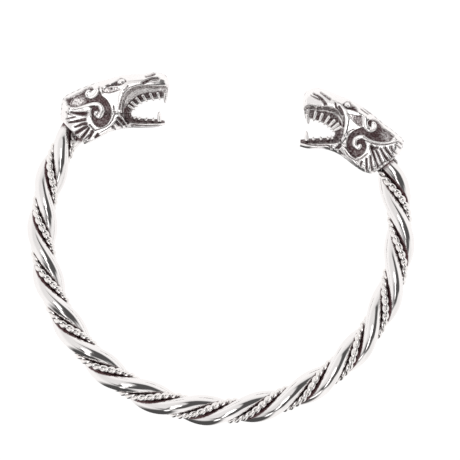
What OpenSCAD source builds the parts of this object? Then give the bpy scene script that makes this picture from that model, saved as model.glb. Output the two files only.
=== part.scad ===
// Open arm ring of twisted silver wire that ends in two beast heads, lying on its side.
// Units are millimetres and degrees.

/* [Ring] */
// Radius of the cable's centre line
ring_r = 34; // [30:0.5:40]
// Angle from the middle of the gap round to the left head's socket
left_turn = 55.7; // [52:0.1:62]
// Angle from the middle of the gap round to the right head's socket
right_turn = 67.3; // [60:0.1:72]

/* [Cable] */
// Diameter of each of the two thick wires
strand_d = 2.82; // [2.5:0.02:2.9]
// Diameter of each of the two fine ropes
rope_d = 1.34; // [1:0.02:1.5]
// Clearance between neighbouring wires and ropes
wire_gap = 0.1; // [0.08:0.01:0.15]
// Length along the ring in which the cable turns once
lay_l = 21; // [19:0.1:25]
// Share by which each turn of the lay is longer than the one before it
lay_growth = 0.019; // [0:0.001:0.04]
// Angle along the ring where the first rope lies on top
lay_start = -95.5; // [-110:0.5:-80]
// Share by which the cable narrows where it enters a head
end_taper = 0.12; // [0.08:0.01:0.16]
// Length along the ring over which the cable narrows
taper_l = 3; // [2:0.25:5]

/* [Heads] */
// Length of a head from its socket to its nose
head_l = 19; // [17:0.5:21]
// Height of the open jaws at the nose
head_h = 9.5; // [8.5:0.25:10.5]
// Width of a head from cheek to cheek
head_w = 8.4; // [7.8:0.1:10]
// Depth of the socket that takes the cable
socket_l = 4; // [3:0.25:5]
// Clearance between the cable and the socket's wall
socket_gap = 0.14; // [0.1:0.02:0.25]
// Thickness of the collar's wall round the socket
collar_wall = 0.65; // [0.5:0.05:1]

/* [Relief] */
// Outer radius of the big scroll on the cheek
scroll_r = 1.6; // [1.2:0.05:1.8]
// Outer radius of the small scroll at the root of the ear
curl_r = 1.4; // [1:0.05:1.6]
// Width of a raised ridge
ridge_d = 0.8; // [0.6:0.05:1]
// Height of a raised ridge above the cheek
ridge_h = 0.3; // [0.2:0.02:0.38]
// Width of a stroke cut into the mane or the nose
stroke_w = 0.42; // [0.3:0.02:0.5]
// Depth of a stroke
stroke_h = 0.4; // [0.2:0.05:0.5]
// Thickness of a tooth at its root
tooth_d = 0.75; // [0.5:0.05:0.9]
// Thickness of a fang at its root
fang_d = 0.9; // [0.7:0.05:1.2]
// Reach of the upper fang past the mouth's edge
upper_fang_l = 1; // [0.6:0.1:1.2]
// Reach of the lower fang past the mouth's edge
lower_fang_l = 1.5; // [0.8:0.1:1.6]

/* [Hidden] */

// The cable: wires at equal angles round the centre line, turning to the left along it.
strands = 2;
strand_r = strand_d / 2;
rope_r = rope_d / 2;
lay_deg = lay_l / ring_r * 180 / PI;
lay_reach = lay_l / 2 / PI;
// The lay brings two neighbours nearer than they lie in a flat section through the cable.
function nearness(a, b, deg) =
    let(slip = a * b * sin(deg) / (lay_reach * lay_reach + a * b * cos(deg)))
    let(swing = deg - slip * 180 / PI)
    sqrt(a * a + b * b - 2 * a * b * cos(swing) + pow(slip * lay_reach, 2));
// Radius at which a wire meets its neighbour at the wanted distance, found by halving.
function radius_for(other, deg, wanted, low, high, steps = 24) =
    let(mid = (low + high) / 2, inner = other == 0 ? mid : other)
    steps == 0 ? mid
    : nearness(mid, inner, deg) > wanted ? radius_for(other, deg, wanted, low, mid, steps - 1)
    : radius_for(other, deg, wanted, mid, high, steps - 1);
helix_r = radius_for(0, 360 / strands, strand_d + wire_gap, strand_r, strand_d);
groove_r = radius_for(helix_r, 180 / strands, strand_r + rope_r + wire_gap, helix_r, 3 * helix_r);
cable_r = helix_r + strand_r;

// The ends of the cable lie in the heads' sockets, short of the sockets' floors. The wires slant,
// so one side of each end reaches further in than its middle.
end_slant = strand_r * helix_r / lay_reach;
floor_gap = end_slant + 2 * socket_gap;
end_deg = (socket_l - floor_gap) / ring_r * 180 / PI;
taper_deg = taper_l / ring_r * 180 / PI;
left_deg = left_turn - 270;
right_deg = 90 - right_turn;
first_deg = left_deg - end_deg;
last_deg = right_deg + end_deg;
strand_rings = 90;
strand_sides = 11;
rope_rings = 92;
rope_sides = 8;
way_step = 0.2;

// Number of whole turns of the lay from its start to a place on the ring.
function turns(deg) =
    let(growth = lay_growth * lay_deg / 2, way = deg - lay_start)
    growth == 0 ? way / lay_deg
    : (sqrt(lay_deg * lay_deg + 4 * growth * way) - lay_deg) / (2 * growth);
function smooth(x) = let(t = max(0, min(1, x))) t * t * (3 - 2 * t);
// The cable's full size away from the heads, less the taper inside them.
function girth(deg) =
    let(way = min(deg - left_deg, right_deg - deg))
    1 - end_taper * (1 - smooth(way / taper_deg));
function axis_at(deg) = [ring_r * cos(deg), ring_r * sin(deg), 0];
function wire_at(deg, radius, lag) =
    let(a = -360 * (turns(deg) - lag), r = radius * girth(deg))
    axis_at(deg) + r * [sin(a) * cos(deg), sin(a) * sin(deg), cos(a)];
function unit(v) = v / norm(v);
// Ring of points round a wire, square to the wire's own direction.
function wire_ring(deg, radius, lag, r, sides) =
    let(centre = wire_at(deg, radius, lag))
    let(way = unit(wire_at(deg + way_step, radius, lag) - wire_at(deg - way_step, radius, lag)))
    let(out = unit(centre - axis_at(deg)), x = unit(out - (out * way) * way), y = cross(way, x))
    let(turn = 360 / sides)
    [for (i = [0 : sides - 1]) centre + r * girth(deg) * (cos(i * turn) * x + sin(i * turn) * y)];

// Skin of a body carried through closed rings of points that all have the same number of points.
module skin(rings) {
    n = len(rings[0]);
    last = len(rings) - 1;
    sides = [
        for (i = [0 : last - 1], j = [0 : n - 1])
            let(a = i * n + j, b = i * n + (j + 1) % n)
            each [[a, a + n, b], [b, a + n, b + n]]
    ];
    start = [for (j = [0 : n - 1]) j];
    finish = [for (j = [n - 1 : -1 : 0]) last * n + j];
    polyhedron(points = [for (ring = rings) each ring], faces = concat(sides, [start, finish]));
}

module wire(radius, lag, r, rings, sides) {
    skin([
        for (i = [0 : rings - 1])
            wire_ring(first_deg + (last_deg - first_deg) * i / (rings - 1), radius, lag, r, sides)
    ]);
}

// The heads lie in their own frame: the origin is the middle of the socket's mouth,
// u runs towards the nose and v towards the crown, as shares of head_l and head_h.
socket_r = cable_r * (1 - end_taper) + socket_gap;
collar_r = socket_r + collar_wall;
face_r = head_w / 2;

// Columns of a section of a head, from the mouth's edge to the outline.
MOUTH_U = 0;
MOUTH_V = 1;
OUT_U = 2;
OUT_V = 3;
WIDE = 4;  // width, as a share of the width there
LIP = 5;   // distance from the mouth's edge to the lip's crest, as a share of head_h
OPEN = 6;  // how square the section ends: 1 at the collar's open end

// Width of the face along u, as a share of head_w.
FACE = [[-0.2, 0.86], [0, 0.9], [0.2, 0.98], [0.35, 1], [0.5, 0.96], [0.7, 0.87], [0.95, 0.8]];

// Sections from the nose over the crown to the collar, then from the mane to the lower jaw's tip.
LEFT_CROWN = [
    [0.945, 0.70, 0.955, 1.02, 0.66, 0.16, 0.05],
    [0.915, 0.67, 0.920, 1.14, 0.88, 0.22, 0.05],
    [0.845, 0.65, 0.805, 1.19, 0.97, 0.24, 0.05],
    [0.755, 0.63, 0.665, 1.15, 1.00, 0.28, 0.05],
    [0.675, 0.57, 0.505, 1.13, 1.00, 0.31, 0.05],
    [0.620, 0.48, 0.335, 1.04, 1.00, 0.28, 0.05],
    [0.595, 0.42, 0.185, 0.95, 1.00, 0.22, 0.05],
    [0.585, 0.38, 0.025, 0.82, 1.00, 0.19, 0.05],
    [0.585, 0.37, -0.095, 0.68, 1.00, 0.18, 0.05],
    [0.585, 0.36, -0.120, 0.46, 0.98, 0.17, 0.10]
];
LEFT_JAW = [
    [0.590, 0.32, 0.235, -0.15, 0.97, 0.15, 0.05],
    [0.605, 0.30, 0.375, 0.00, 0.94, 0.16, 0.05],
    [0.645, 0.28, 0.545, 0.07, 0.88, 0.14, 0.05],
    [0.735, 0.26, 0.705, 0.08, 0.86, 0.12, 0.05],
    [0.845, 0.25, 0.845, 0.09, 0.84, 0.11, 0.05],
    [0.915, 0.22, 0.920, 0.13, 0.60, 0.06, 0.05]
];
RIGHT_CROWN = [
    [0.810, 0.90, 0.835, 1.26, 0.66, 0.16, 0.05],
    [0.775, 0.89, 0.805, 1.43, 0.88, 0.24, 0.05],
    [0.705, 0.86, 0.695, 1.51, 0.97, 0.25, 0.05],
    [0.635, 0.81, 0.555, 1.43, 1.00, 0.30, 0.05],
    [0.575, 0.74, 0.395, 1.30, 1.00, 0.33, 0.05],
    [0.535, 0.67, 0.265, 1.17, 1.00, 0.28, 0.05],
    [0.520, 0.63, 0.145, 1.00, 1.00, 0.20, 0.05],
    [0.515, 0.61, 0.025, 0.80, 1.00, 0.16, 0.05],
    [0.515, 0.60, -0.095, 0.62, 1.00, 0.15, 0.05],
    [0.515, 0.59, -0.175, 0.45, 0.96, 0.15, 0.10]
];
RIGHT_JAW = [
    [0.520, 0.555, 0.230, -0.16, 0.97, 0.14, 0.05],
    [0.530, 0.54, 0.330, -0.03, 0.94, 0.14, 0.05],
    [0.565, 0.52, 0.470, 0.18, 0.88, 0.13, 0.05],
    [0.655, 0.51, 0.605, 0.28, 0.86, 0.12, 0.05],
    [0.775, 0.50, 0.765, 0.29, 0.84, 0.12, 0.05],
    [0.855, 0.48, 0.865, 0.34, 0.60, 0.06, 0.05]
];

// Tail of the big scroll, which runs back under the ear: u, v.
LEFT_TAIL = [[0.175, 0.515], [0.095, 0.47], [0.025, 0.445], [-0.035, 0.47], [-0.08, 0.54]];
RIGHT_TAIL = [[0.205, 0.50], [0.165, 0.45], [0.105, 0.42], [0.035, 0.405], [-0.035, 0.425], [-0.105, 0.485]];

// Strokes of the mane, then of the nose: u and v of one end, u and v of the other.
LEFT_STROKES = [
    [0.130, 0.37, -0.055, 0.39],
    [0.130, 0.305, -0.055, 0.25],
    [0.115, 0.24, -0.045, 0.18],
    [0.130, 0.16, 0.035, 0.09],
    [0.145, 0.10, 0.035, -0.03],
    [0.170, 0.05, 0.080, -0.15],
    [0.205, -0.01, 0.160, -0.17],
    [0.735, 1.11, 0.810, 1.16],
    [0.705, 0.965, 0.855, 1.065]
];
RIGHT_STROKES = [
    [-0.045, 0.33, -0.100, 0.19],
    [0.015, 0.33, -0.050, 0.13],
    [0.060, 0.30, -0.015, 0.06],
    [0.115, 0.29, 0.040, -0.01],
    [0.150, 0.28, 0.080, -0.09],
    [0.165, 0.12, 0.140, -0.16],
    [0.205, 0.09, 0.200, -0.16],
    [0.565, 1.28, 0.650, 1.415],
    [0.610, 1.18, 0.750, 1.37]
];

// Parts of a head: sections before and after the collar, the collar's slant, the middle of the
// big scroll and the angle where its tail leaves, the middle of the ring round it, the middle of
// the small scroll, the tail, the eye's middle and slant, and the strokes.
CROWN = 0;
JAW = 1;
SLANT = 2;
SCROLL = 3;
SCROLL_END = 4;
DISC = 5;
CURL = 6;
TAIL = 7;
EYE = 8;
EYE_SLANT = 9;
STROKES = 10;
LEFT = [
    LEFT_CROWN, LEFT_JAW, 135, [0.26, 0.39], 453, [0.265, 0.35], [0.17, 0.79], LEFT_TAIL,
    [0.48, 1.005], 15, LEFT_STROKES
];
RIGHT = [
    RIGHT_CROWN, RIGHT_JAW, 144, [0.287, 0.41], 468, [0.298, 0.346], [0.172, 0.788], RIGHT_TAIL,
    [0.395, 1.18], 25, RIGHT_STROKES
];

function at(p) = [p[0] * head_l, p[1] * head_h];
function face_at(u) = face_r * lookup(u / head_l, FACE);
function between(a, b, t) = a + (b - a) * t;
// Smooth curve through a list of rows: each stretch leaves a row towards the next but one.
function curve(rows, s) =
    let(last = len(rows) - 1, i = min(floor(s), last - 1), t = s - i)
    let(a = rows[max(i - 1, 0)], b = rows[i], c = rows[i + 1], d = rows[min(i + 2, last)])
    b + t / 2 * (c - a + t * (2 * a - 5 * b + 4 * c - d + t * (3 * b - a - 3 * c + d)));

// Sections across the collar, spread over its open end.
COLLAR_SHARES = [1, 0.75, 0.3, -0.3, -0.75, -1];
collar_low = 0.3;
function collar_rows(head) = [
    for (k = COLLAR_SHARES)
        let(out = collar_r * k * [cos(head[SLANT]), sin(head[SLANT])])
        let(mouth = between(head[JAW][0], head[CROWN][len(head[CROWN]) - 1], (1 + k) / 2))
        let(wide = collar_r / face_at(out[0]), round = max(collar_low, sqrt(1 - k * k)))
        [mouth[MOUTH_U], mouth[MOUTH_V], out[0] / head_l, out[1] / head_h, wide, mouth[LIP], round]
];
function sections(head) = concat(head[CROWN], collar_rows(head), head[JAW]);

// Heights across a section: along the lip, across the face and down to the outline.
LEDGE = [[0, 0.3], [0.55, 0.46], [0.93, 0.62], [1.14, 1]];
EDGE = [[0, 1], [0.5, 0.87], [0.87, 0.5], [1, 0]];
edge_share = 0.52;
edge_max = 1.7;
lip_max = 0.55;
function lip_of(row, whole) = min(row[LIP] * head_h, whole * lip_max);
function section_points(row) =
    let(mouth = at([row[MOUTH_U], row[MOUTH_V]]), out = at([row[OUT_U], row[OUT_V]]))
    let(whole = norm(out - mouth), lip = lip_of(row, whole))
    let(edge = min(edge_max, edge_share * (whole - lip)))
    let(face_mid = (lip * LEDGE[3][0] + whole - edge) / 2)
    let(half = concat(
        [for (p = LEDGE) [p[0] * lip, p[1]]],
        [[face_mid, 1]],
        [for (p = EDGE) [whole - edge + p[0] * edge, row[OPEN] + (1 - row[OPEN]) * p[1]]]
    ))
    let(top = [
        for (p = half)
            let(place = between(mouth, out, p[0] / whole))
            [place[0], place[1], p[1] * row[WIDE] * face_at(place[0])]
    ])
    concat(top, [for (i = [len(top) - 1 : -1 : 0]) [top[i][0], top[i][1], -top[i][2]]]);
// Half steps between rows, but for the close rows from the brow round to the mane.
CLOSE = [5, 15];
module skull(head) {
    rows = sections(head);
    last = len(rows) - 1;
    places = [
        for (i = [0 : last - 1]) each i >= CLOSE[0] && i <= CLOSE[1] ? [i] : [i, i + 0.5]
    ];
    skin([for (s = concat(places, last)) section_points(curve(rows, s))]);
}

// Raised ridge along a path on both cheeks. Its sides are sunk to the cheek's level, and its root
// reaches deeper, so that it also stands in the metal where the cheek falls to the outline.
ridge_sides = 4;
ridge_root = 0.7;
ridge_end = 0.6;
function path_way(path, i) = unit(path[min(i + 1, len(path) - 1)] - path[max(i - 1, 0)]);
function ridge_height(place, low) = face_at(place[0]) * low + ridge_h - ridge_d / 2;
module ridge(path, low = 1) {
    for (side = [-1, 1])
        skin([
            for (i = [0 : len(path) - 1])
                let(way = path_way(path, i), across = [-way[1], way[0]])
                let(thin = i == 0 || i == len(path) - 1 ? ridge_end : 1)
                let(turn = -side * 360 / ridge_sides)
                [
                    for (k = [0 : ridge_sides - 1])
                        let(w = ridge_d / 2 * thin * sin(k * turn))
                        let(root = k == ridge_sides / 2 ? ridge_root : 0)
                        let(h = ridge_height(path[i], low) + ridge_d / 2 * thin * cos(k * turn) - root)
                        [path[i][0] + across[0] * w, path[i][1] + across[1] * w, side * h]
                ]
        ]);
}
function spiral(middle, start, end, r0, r1, n) = [
    for (i = [0 : n])
        let(t = i / n, a = between(start, end, t))
        at(middle) + between(r0, r1, t) * [cos(a), sin(a)]
];

// Groove cut into both cheeks between two places, following the cheek down to the outline.
stroke_drop = 0.9;
module stroke(row) {
    ends = [at([row[0], row[1]]), at([row[2], row[3]])];
    for (side = [-1, 1])
        hull()
            for (i = [0, 1])
                translate([ends[i][0], ends[i][1], side * face_at(ends[i][0]) * (i == 0 ? 1 : stroke_drop)])
                    cube([stroke_w, stroke_w, 2 * stroke_h], center = true);
}

// Tooth on both cheeks: a four-sided spike along the ledge under the lip, past the mouth's edge.
// Its middle stands above the ledge by a share of its thickness, and it thins towards the tip.
tooth_rise = 0.25;
tip_share = 0.25;
function tooth_ring(head, s, way, thick, side) =
    let(row = curve(sections(head), s))
    let(mouth = at([row[MOUTH_U], row[MOUTH_V]]), out = at([row[OUT_U], row[OUT_V]]))
    let(down = unit(mouth - out), place = mouth + down * way)
    let(ledge = lookup(-way / lip_of(row, norm(out - mouth)), LEDGE) * row[WIDE] * face_at(place[0]))
    let(across = [-down[1], down[0]] * thick / 2, z = side * (ledge + tooth_rise * thick))
    [
        [place[0] - across[0], place[1] - across[1], z - thick / 2],
        [place[0] + across[0], place[1] + across[1], z - thick / 2],
        [place[0] + across[0], place[1] + across[1], z + thick / 2],
        [place[0] - across[0], place[1] - across[1], z + thick / 2]
    ];
module tooth(head, s, root, reach, thick) {
    for (side = [-1, 1])
        skin([
            tooth_ring(head, s, -root, thick, side),
            tooth_ring(head, s, reach, tip_share * thick, side)
        ]);
}
tooth_root = 0.9;
tooth_reach = 0.3;
// Places of the teeth in sections from the nose, and from the lower jaw's tip.
UPPER_TEETH = [1.7, 2.45, 3.2, 3.9, 4.6, 5.36];
LOWER_TEETH = [1.4, 2, 2.7, 3.4];
upper_fang = 0.84;
lower_fang = 0.8;
fang_root = 1;

// The eye's length, width and height, as shares of a ridge's width and height.
eye_size = [2, 1.25, 2];
eye_low = 0.94;
eye_sides = 8;
module eye(head) {
    place = at(head[EYE]);
    for (side = [-1, 1])
        translate([place[0], place[1], side * face_at(place[0]) * eye_low])
            rotate(head[EYE_SLANT])
                scale([eye_size[0] * ridge_d, eye_size[1] * ridge_d, eye_size[2] * ridge_h])
                    sphere(d = 1, $fn = eye_sides);
}

// The cheek's scrolls: angles where they start and end, and inner radius as a share of the outer.
scroll_start = 110;
scroll_in = 0.35;
scroll_steps = 13;
curl_start = 100;
curl_end = 400;
curl_in = 0.25;
curl_steps = 9;
// The ring round the big scroll.
ring_start = 205;
ring_end = 405;
ring_out = 1.7 * scroll_r;
ring_low = 0.965;
ring_steps = 9;
lower_share = 0.8;
module head(head) {
    last = len(sections(head)) - 1;
    difference() {
        union() {
            skull(head);
            ridge(concat(
                spiral(
                    head[SCROLL], scroll_start, head[SCROLL_END], scroll_in * scroll_r, scroll_r, scroll_steps
                ),
                [for (p = head[TAIL]) at(p)]
            ));
            ridge(spiral(head[DISC], ring_start, ring_end, ring_out, ring_out, ring_steps), ring_low);
            ridge(spiral(head[CURL], curl_start, curl_end, curl_in * curl_r, curl_r, curl_steps));
            for (s = UPPER_TEETH)
                tooth(head, s, tooth_root, tooth_reach, tooth_d);
            for (s = LOWER_TEETH)
                tooth(head, last - s, tooth_root / 2, tooth_reach, lower_share * tooth_d);
            tooth(head, upper_fang, fang_root, upper_fang_l, fang_d);
            tooth(head, last - lower_fang, fang_root / 2, lower_fang_l, fang_d);
            eye(head);
        }
        for (row = head[STROKES])
            stroke(row);
    }
}

// The socket follows the cable's curve from just outside the collar to its floor.
socket_out = 12;
socket_steps = 120;
socket_sides = 22;
module socket(deg, way) {
    turn = socket_l / ring_r * 180 / PI;
    rotate(way > 0 ? deg - socket_out : deg - turn)
        rotate_extrude(angle = turn + socket_out, $fn = socket_steps)
            translate([ring_r, 0])
                circle(r = socket_r, $fn = socket_sides);
}

// The ring rests on the scrolls of both cheeks and on the back of its cable.
touch_r = face_r + ridge_h;
function touch(deg, head, side) =
    let(p = at(head[SCROLL]))
    [axis_at(deg)[0] + side * p[0], axis_at(deg)[1] + p[1]];
left_touch = touch(left_deg, LEFT, 1);
right_touch = touch(right_deg, RIGHT, -1);
touch_slope = (left_touch[1] - right_touch[1]) / (left_touch[0] - right_touch[0]);
touch_y = left_touch[1] - left_touch[0] * touch_slope;
rest_slope = (touch_r - cable_r) / (touch_y + ring_r);
rest_lift = touch_r - touch_y * rest_slope;
module laid() {
    translate([0, 0, rest_lift])
        rotate([atan(rest_slope), atan(rest_slope * touch_slope), 0])
            children();
}

module strand(i) {
    color("silver")
        laid()
            wire(helix_r, (i + 0.5) / strands, strand_r, strand_rings, strand_sides);
}
module rope(i) {
    color("lightgray")
        laid()
            wire(groove_r, i / strands, rope_r, rope_rings, rope_sides);
}
module head_left() {
    color("gainsboro")
        laid()
            difference() {
                translate(axis_at(left_deg))
                    head(LEFT);
                socket(left_deg, -1);
            }
}
module head_right() {
    color("gainsboro")
        laid()
            difference() {
                translate(axis_at(right_deg))
                    mirror([1, 0, 0])
                        head(RIGHT);
                socket(right_deg, 1);
            }
}

strand(0);  // strand_1
strand(1);  // strand_2
rope(0);  // rope_1
rope(1);  // rope_2
head_left();
head_right();
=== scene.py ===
"""Looks of a twisted silver arm ring with two beast heads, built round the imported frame.

Shapes are worked out in millimetres as whole arrays and go into the meshes in metres.
"""

import logging
import math
from dataclasses import dataclass
from enum import Enum
from functools import reduce
from typing import Any, Callable

import bpy
import numpy as np
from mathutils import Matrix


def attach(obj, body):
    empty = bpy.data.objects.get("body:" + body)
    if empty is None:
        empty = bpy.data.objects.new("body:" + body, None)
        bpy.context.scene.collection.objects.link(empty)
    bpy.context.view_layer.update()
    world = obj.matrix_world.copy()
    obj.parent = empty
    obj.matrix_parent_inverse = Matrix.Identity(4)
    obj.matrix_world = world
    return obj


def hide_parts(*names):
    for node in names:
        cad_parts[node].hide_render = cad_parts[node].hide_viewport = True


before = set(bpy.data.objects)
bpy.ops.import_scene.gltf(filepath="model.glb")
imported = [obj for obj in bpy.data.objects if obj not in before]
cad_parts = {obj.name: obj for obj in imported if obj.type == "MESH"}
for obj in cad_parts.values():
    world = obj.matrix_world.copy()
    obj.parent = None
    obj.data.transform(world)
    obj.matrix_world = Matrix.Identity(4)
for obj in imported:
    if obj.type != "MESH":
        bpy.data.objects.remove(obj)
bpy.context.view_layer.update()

log = logging.getLogger("arm_ring")
Array = np.ndarray
Pair = tuple[float, float]
Triple = tuple[float, float, float]
Line = tuple[Pair, ...]
Colour = tuple[float, float, float, float]
MM = 0.001  # Metres
TINY = 1e-12  # Keeps a division by nothing from failing
UP = np.array([0.0, 0.0, 1.0])
BODY = "root"


# Small sums on arrays


def smooth(x: Array) -> Array:
    """Three t squared less two t cubed, of x held between 0 and 1."""
    t = np.clip(x, 0.0, 1.0)
    return t * t * (3.0 - 2.0 * t)


def rise(x: Array, start: Array | float, over: float) -> Array:
    """Smooth rise from 0 at the start to 1, over a width."""
    return smooth((x - start) / over)


def fall(x: Array, end: float, over: float) -> Array:
    """Smooth fall from 1 to 0 at the end, over a width."""
    return smooth((end - x) / over)


def bell(x: Array, middle: float, wide: float) -> Array:
    """A bell of height 1: e to the minus square of the distance from its middle in widths."""
    return np.exp(-(((x - middle) / wide) ** 2))


def unit(v: Array) -> Array:
    """Vectors along the last axis, each divided by its length."""
    return v / np.maximum(np.linalg.norm(v, axis=-1, keepdims=True), TINY)


def square_to(v: Array, way: Array) -> Array:
    """Vectors less their share along the way, each divided by its length."""
    return unit(v - np.sum(v * way, -1, keepdims=True) * way)


def turned_by(deg: float) -> tuple[Array, Array]:
    """The directions of x and y in their plane, turned by an angle."""
    a = math.radians(deg)
    return np.array([math.cos(a), math.sin(a)]), np.array([-math.sin(a), math.cos(a)])


def along(rows: Array, s: Array) -> Array:
    """Smooth curve through rows: each stretch leaves a row towards the next but one.

    Args:
        rows: The rows, one place or section each.
        s: Places along them; 1.5 is halfway from the second row to the third.

    Returns:
        One row for each place.
    """
    last = len(rows) - 1
    i = np.clip(np.floor(s).astype(int), 0, last - 1)
    t = (s - i)[:, None]
    a, b = rows[np.maximum(i - 1, 0)], rows[i]
    c, d = rows[i + 1], rows[np.minimum(i + 2, last)]
    return b + t / 2 * (c - a + t * (2 * a - 5 * b + 4 * c - d + t * (3 * b - a - 3 * c + d)))


def spread(values: Array, density: Array, count: int) -> Array:
    """Values of each row read again at places that are even in the running sum of its density.

    Args:
        values: Rows of values, one column for each fine step.
        density: Rows of step lengths, one fewer than the columns.
        count: How many values each row gets.

    Returns:
        Rows of count values, the first and the last kept.
    """
    run = np.concatenate([np.zeros((len(values), 1)), np.cumsum(density, axis=1)], axis=1)
    run /= run[:, -1:]
    offset = 2.0 * np.arange(len(values))[:, None]
    wanted = np.linspace(0.0, 1.0, count)[None, :] + offset
    place = np.searchsorted((run + offset).ravel(), wanted.ravel(), side="right") - 1
    place = place.reshape(wanted.shape) - np.arange(len(values))[:, None] * values.shape[1]
    place = np.clip(place, 0, values.shape[1] - 2)
    low = np.take_along_axis(run, place, 1)
    high = np.take_along_axis(run, place + 1, 1)
    t = np.clip((wanted - offset - low) / np.maximum(high - low, TINY), 0.0, 1.0)
    return np.take_along_axis(values, place, 1) * (1 - t) + np.take_along_axis(values, place + 1, 1) * t


# Smooth lines and distances from them


def rounded(line: Array, closed: bool = False, steps: int = 6) -> Array:
    """Smooth curve through a line's places, as a finer line.

    Args:
        line: The places.
        closed: Whether the last place joins the first.
        steps: Fine steps for each stretch.

    Returns:
        The finer line; a closed one ends where it starts.
    """
    if closed:
        line = np.concatenate([line[-1:], line, line[:2]])
        s = np.linspace(1.0, len(line) - 2.0, (len(line) - 3) * steps + 1)
        return along(line, s)
    return along(line, np.linspace(0.0, len(line) - 1.0, (len(line) - 1) * steps + 1))


def path_distance(spot: Array, path: Array) -> tuple[Array, Array]:
    """Distance from each spot to a line, and the share of its length at the nearest place.

    Args:
        spot: Places, two numbers each.
        path: The line's places.

    Returns:
        The distances and the shares.
    """
    a, step = path[:-1], np.diff(path, axis=0)
    length = np.maximum((step**2).sum(-1), TINY)
    t = np.clip((((spot[:, None] - a) * step).sum(-1)) / length, 0.0, 1.0)
    apart = np.linalg.norm(spot[:, None] - a - t[..., None] * step, axis=-1)
    nearest = apart.argmin(1)
    run = np.concatenate([[0.0], np.cumsum(np.sqrt(length))])
    each = np.arange(len(spot))
    share = (run[nearest] + t[each, nearest] * np.sqrt(length)[nearest]) / run[-1]
    return apart[each, nearest], share


def signed_distance(spot: Array, path: Array) -> Array:
    """Distance from each spot to a closed outline, more than 0 inside it and less outside. A
    spot is inside where a line to the side crosses the outline an odd number of times.

    Args:
        spot: Places, two numbers each.
        path: The outline, which ends where it starts.

    Returns:
        The distances.
    """
    apart, _ = path_distance(spot, path)
    a, b = path[:-1], path[1:]
    x, y = spot[:, :1], spot[:, 1:]
    spans = (a[:, 1] > y) != (b[:, 1] > y)
    climb = np.where(b[:, 1] == a[:, 1], TINY, b[:, 1] - a[:, 1])
    cross = spans & (x < (b[:, 0] - a[:, 0]) * (y - a[:, 1]) / climb + a[:, 0])
    return np.where(cross.sum(1) % 2 == 1, apart, -apart)


# Meshes from grids


@dataclass
class Surface:
    """Points, faces and darkness of a surface that is still being put together: tarnish, and painted
    shade.
    """

    points: Array  # Places in millimetres, one row each
    quads: Array  # Corners of the four-sided faces
    fans: Array  # Corners of the three-sided faces at the closed ends
    tarnish: Array  # Darkness of each point, from 0, polished, to 1, black: tarnish, and painted shade in grooves and sockets

    def joined(self, other: "Surface") -> "Surface":
        """This surface and another as one.

        Args:
            other: The other surface.

        Returns:
            Both, with the other's corners counted on from this one's points.
        """
        n = len(self.points)
        return Surface(
            np.concatenate([self.points, other.points]),
            np.concatenate([self.quads, other.quads + n]),
            np.concatenate([self.fans, other.fans + n]),
            np.concatenate([self.tarnish, other.tarnish]),
        )

    def turned(self) -> "Surface":
        """The same surface with its faces turned the other way round."""
        return Surface(self.points, self.quads[:, ::-1], self.fans[:, ::-1], self.tarnish)


def closed_loft(rings: Array, tarnish: Array) -> Surface:
    """Skin of closed rings of points, shut at both ends by a fan round the ring's middle.

    Args:
        rings: Rings along the body, points round each ring, and the three coordinates.
        tarnish: Darkness of each point of the rings, tarnish and painted shade.

    Returns:
        The closed surface. Its faces point outwards where the rings turn to the right about
        the way that they follow one another.
    """
    n, m = rings.shape[:2]
    i, j = np.meshgrid(np.arange(n - 1), np.arange(m), indexing="ij")
    k = (j + 1) % m
    quads = np.stack([i * m + j, i * m + k, (i + 1) * m + k, (i + 1) * m + j], -1).reshape(-1, 4)
    points = np.concatenate([rings.reshape(-1, 3), rings[0].mean(0)[None], rings[-1].mean(0)[None]])
    a = np.arange(m)
    b = (a + 1) % m
    near, far = np.full(m, n * m), np.full(m, n * m + 1)
    first = np.stack([near, b, a], -1)
    last = np.stack([far, a + (n - 1) * m, b + (n - 1) * m], -1)
    shade = np.concatenate([tarnish.ravel(), [tarnish[0].mean(), tarnish[-1].mean()]])
    return Surface(points, quads, np.concatenate([first, last]), shade)


def outward(surface: Surface) -> Surface:
    """Turns a surface's faces outwards. The sum of the triple products of their corners, which
    is six times the volume inside, is then more than 0; the small fans are left out of it.

    Args:
        surface: A closed surface.

    Returns:
        The surface, or the same one turned.
    """
    a, b, c, d = (surface.points[surface.quads[:, i]] for i in range(4))
    volume = np.sum(np.cross(b - a, c - a) * a) + np.sum(np.cross(c - a, d - a) * a)
    return surface if volume > 0 else surface.turned()


def bridge(edge: Array, first: float, count: int) -> Array:
    """Points across the middle plane: the edge's places, with their height times shares that
    run from the first one to its negative.

    Args:
        edge: The edge's places on one cheek.
        first: 1 to start at the edge, -1 to start at its mirror image.
        count: Points in each row.

    Returns:
        The points, without the edge and its image.
    """
    made = np.repeat(edge, count, axis=1)
    made[..., 2] *= np.linspace(first, -first, count + 2)[None, 1:-1]
    return made


def ring_about(centre: Array, way: Array, out: Array, radius: Array, sides: int) -> Array:
    """Rings of points round a path: centre plus radius times the cosine of the angle along out
    and its sine along the third direction, which is square to the path and to out.

    Args:
        centre: Places along the path.
        way: Direction of the path at each.
        out: Direction that the first point of each ring lies in.
        radius: Radius at each place.
        sides: Points round a ring.

    Returns:
        Array of rings by sides by three.
    """
    x = square_to(out, way)
    y = np.cross(way, x)
    angle = np.linspace(0.0, 2.0 * math.pi, sides, endpoint=False)[None, :, None]
    circle = np.cos(angle) * x[:, None] + np.sin(angle) * y[:, None]
    return centre[:, None] + radius[:, None, None] * circle


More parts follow.
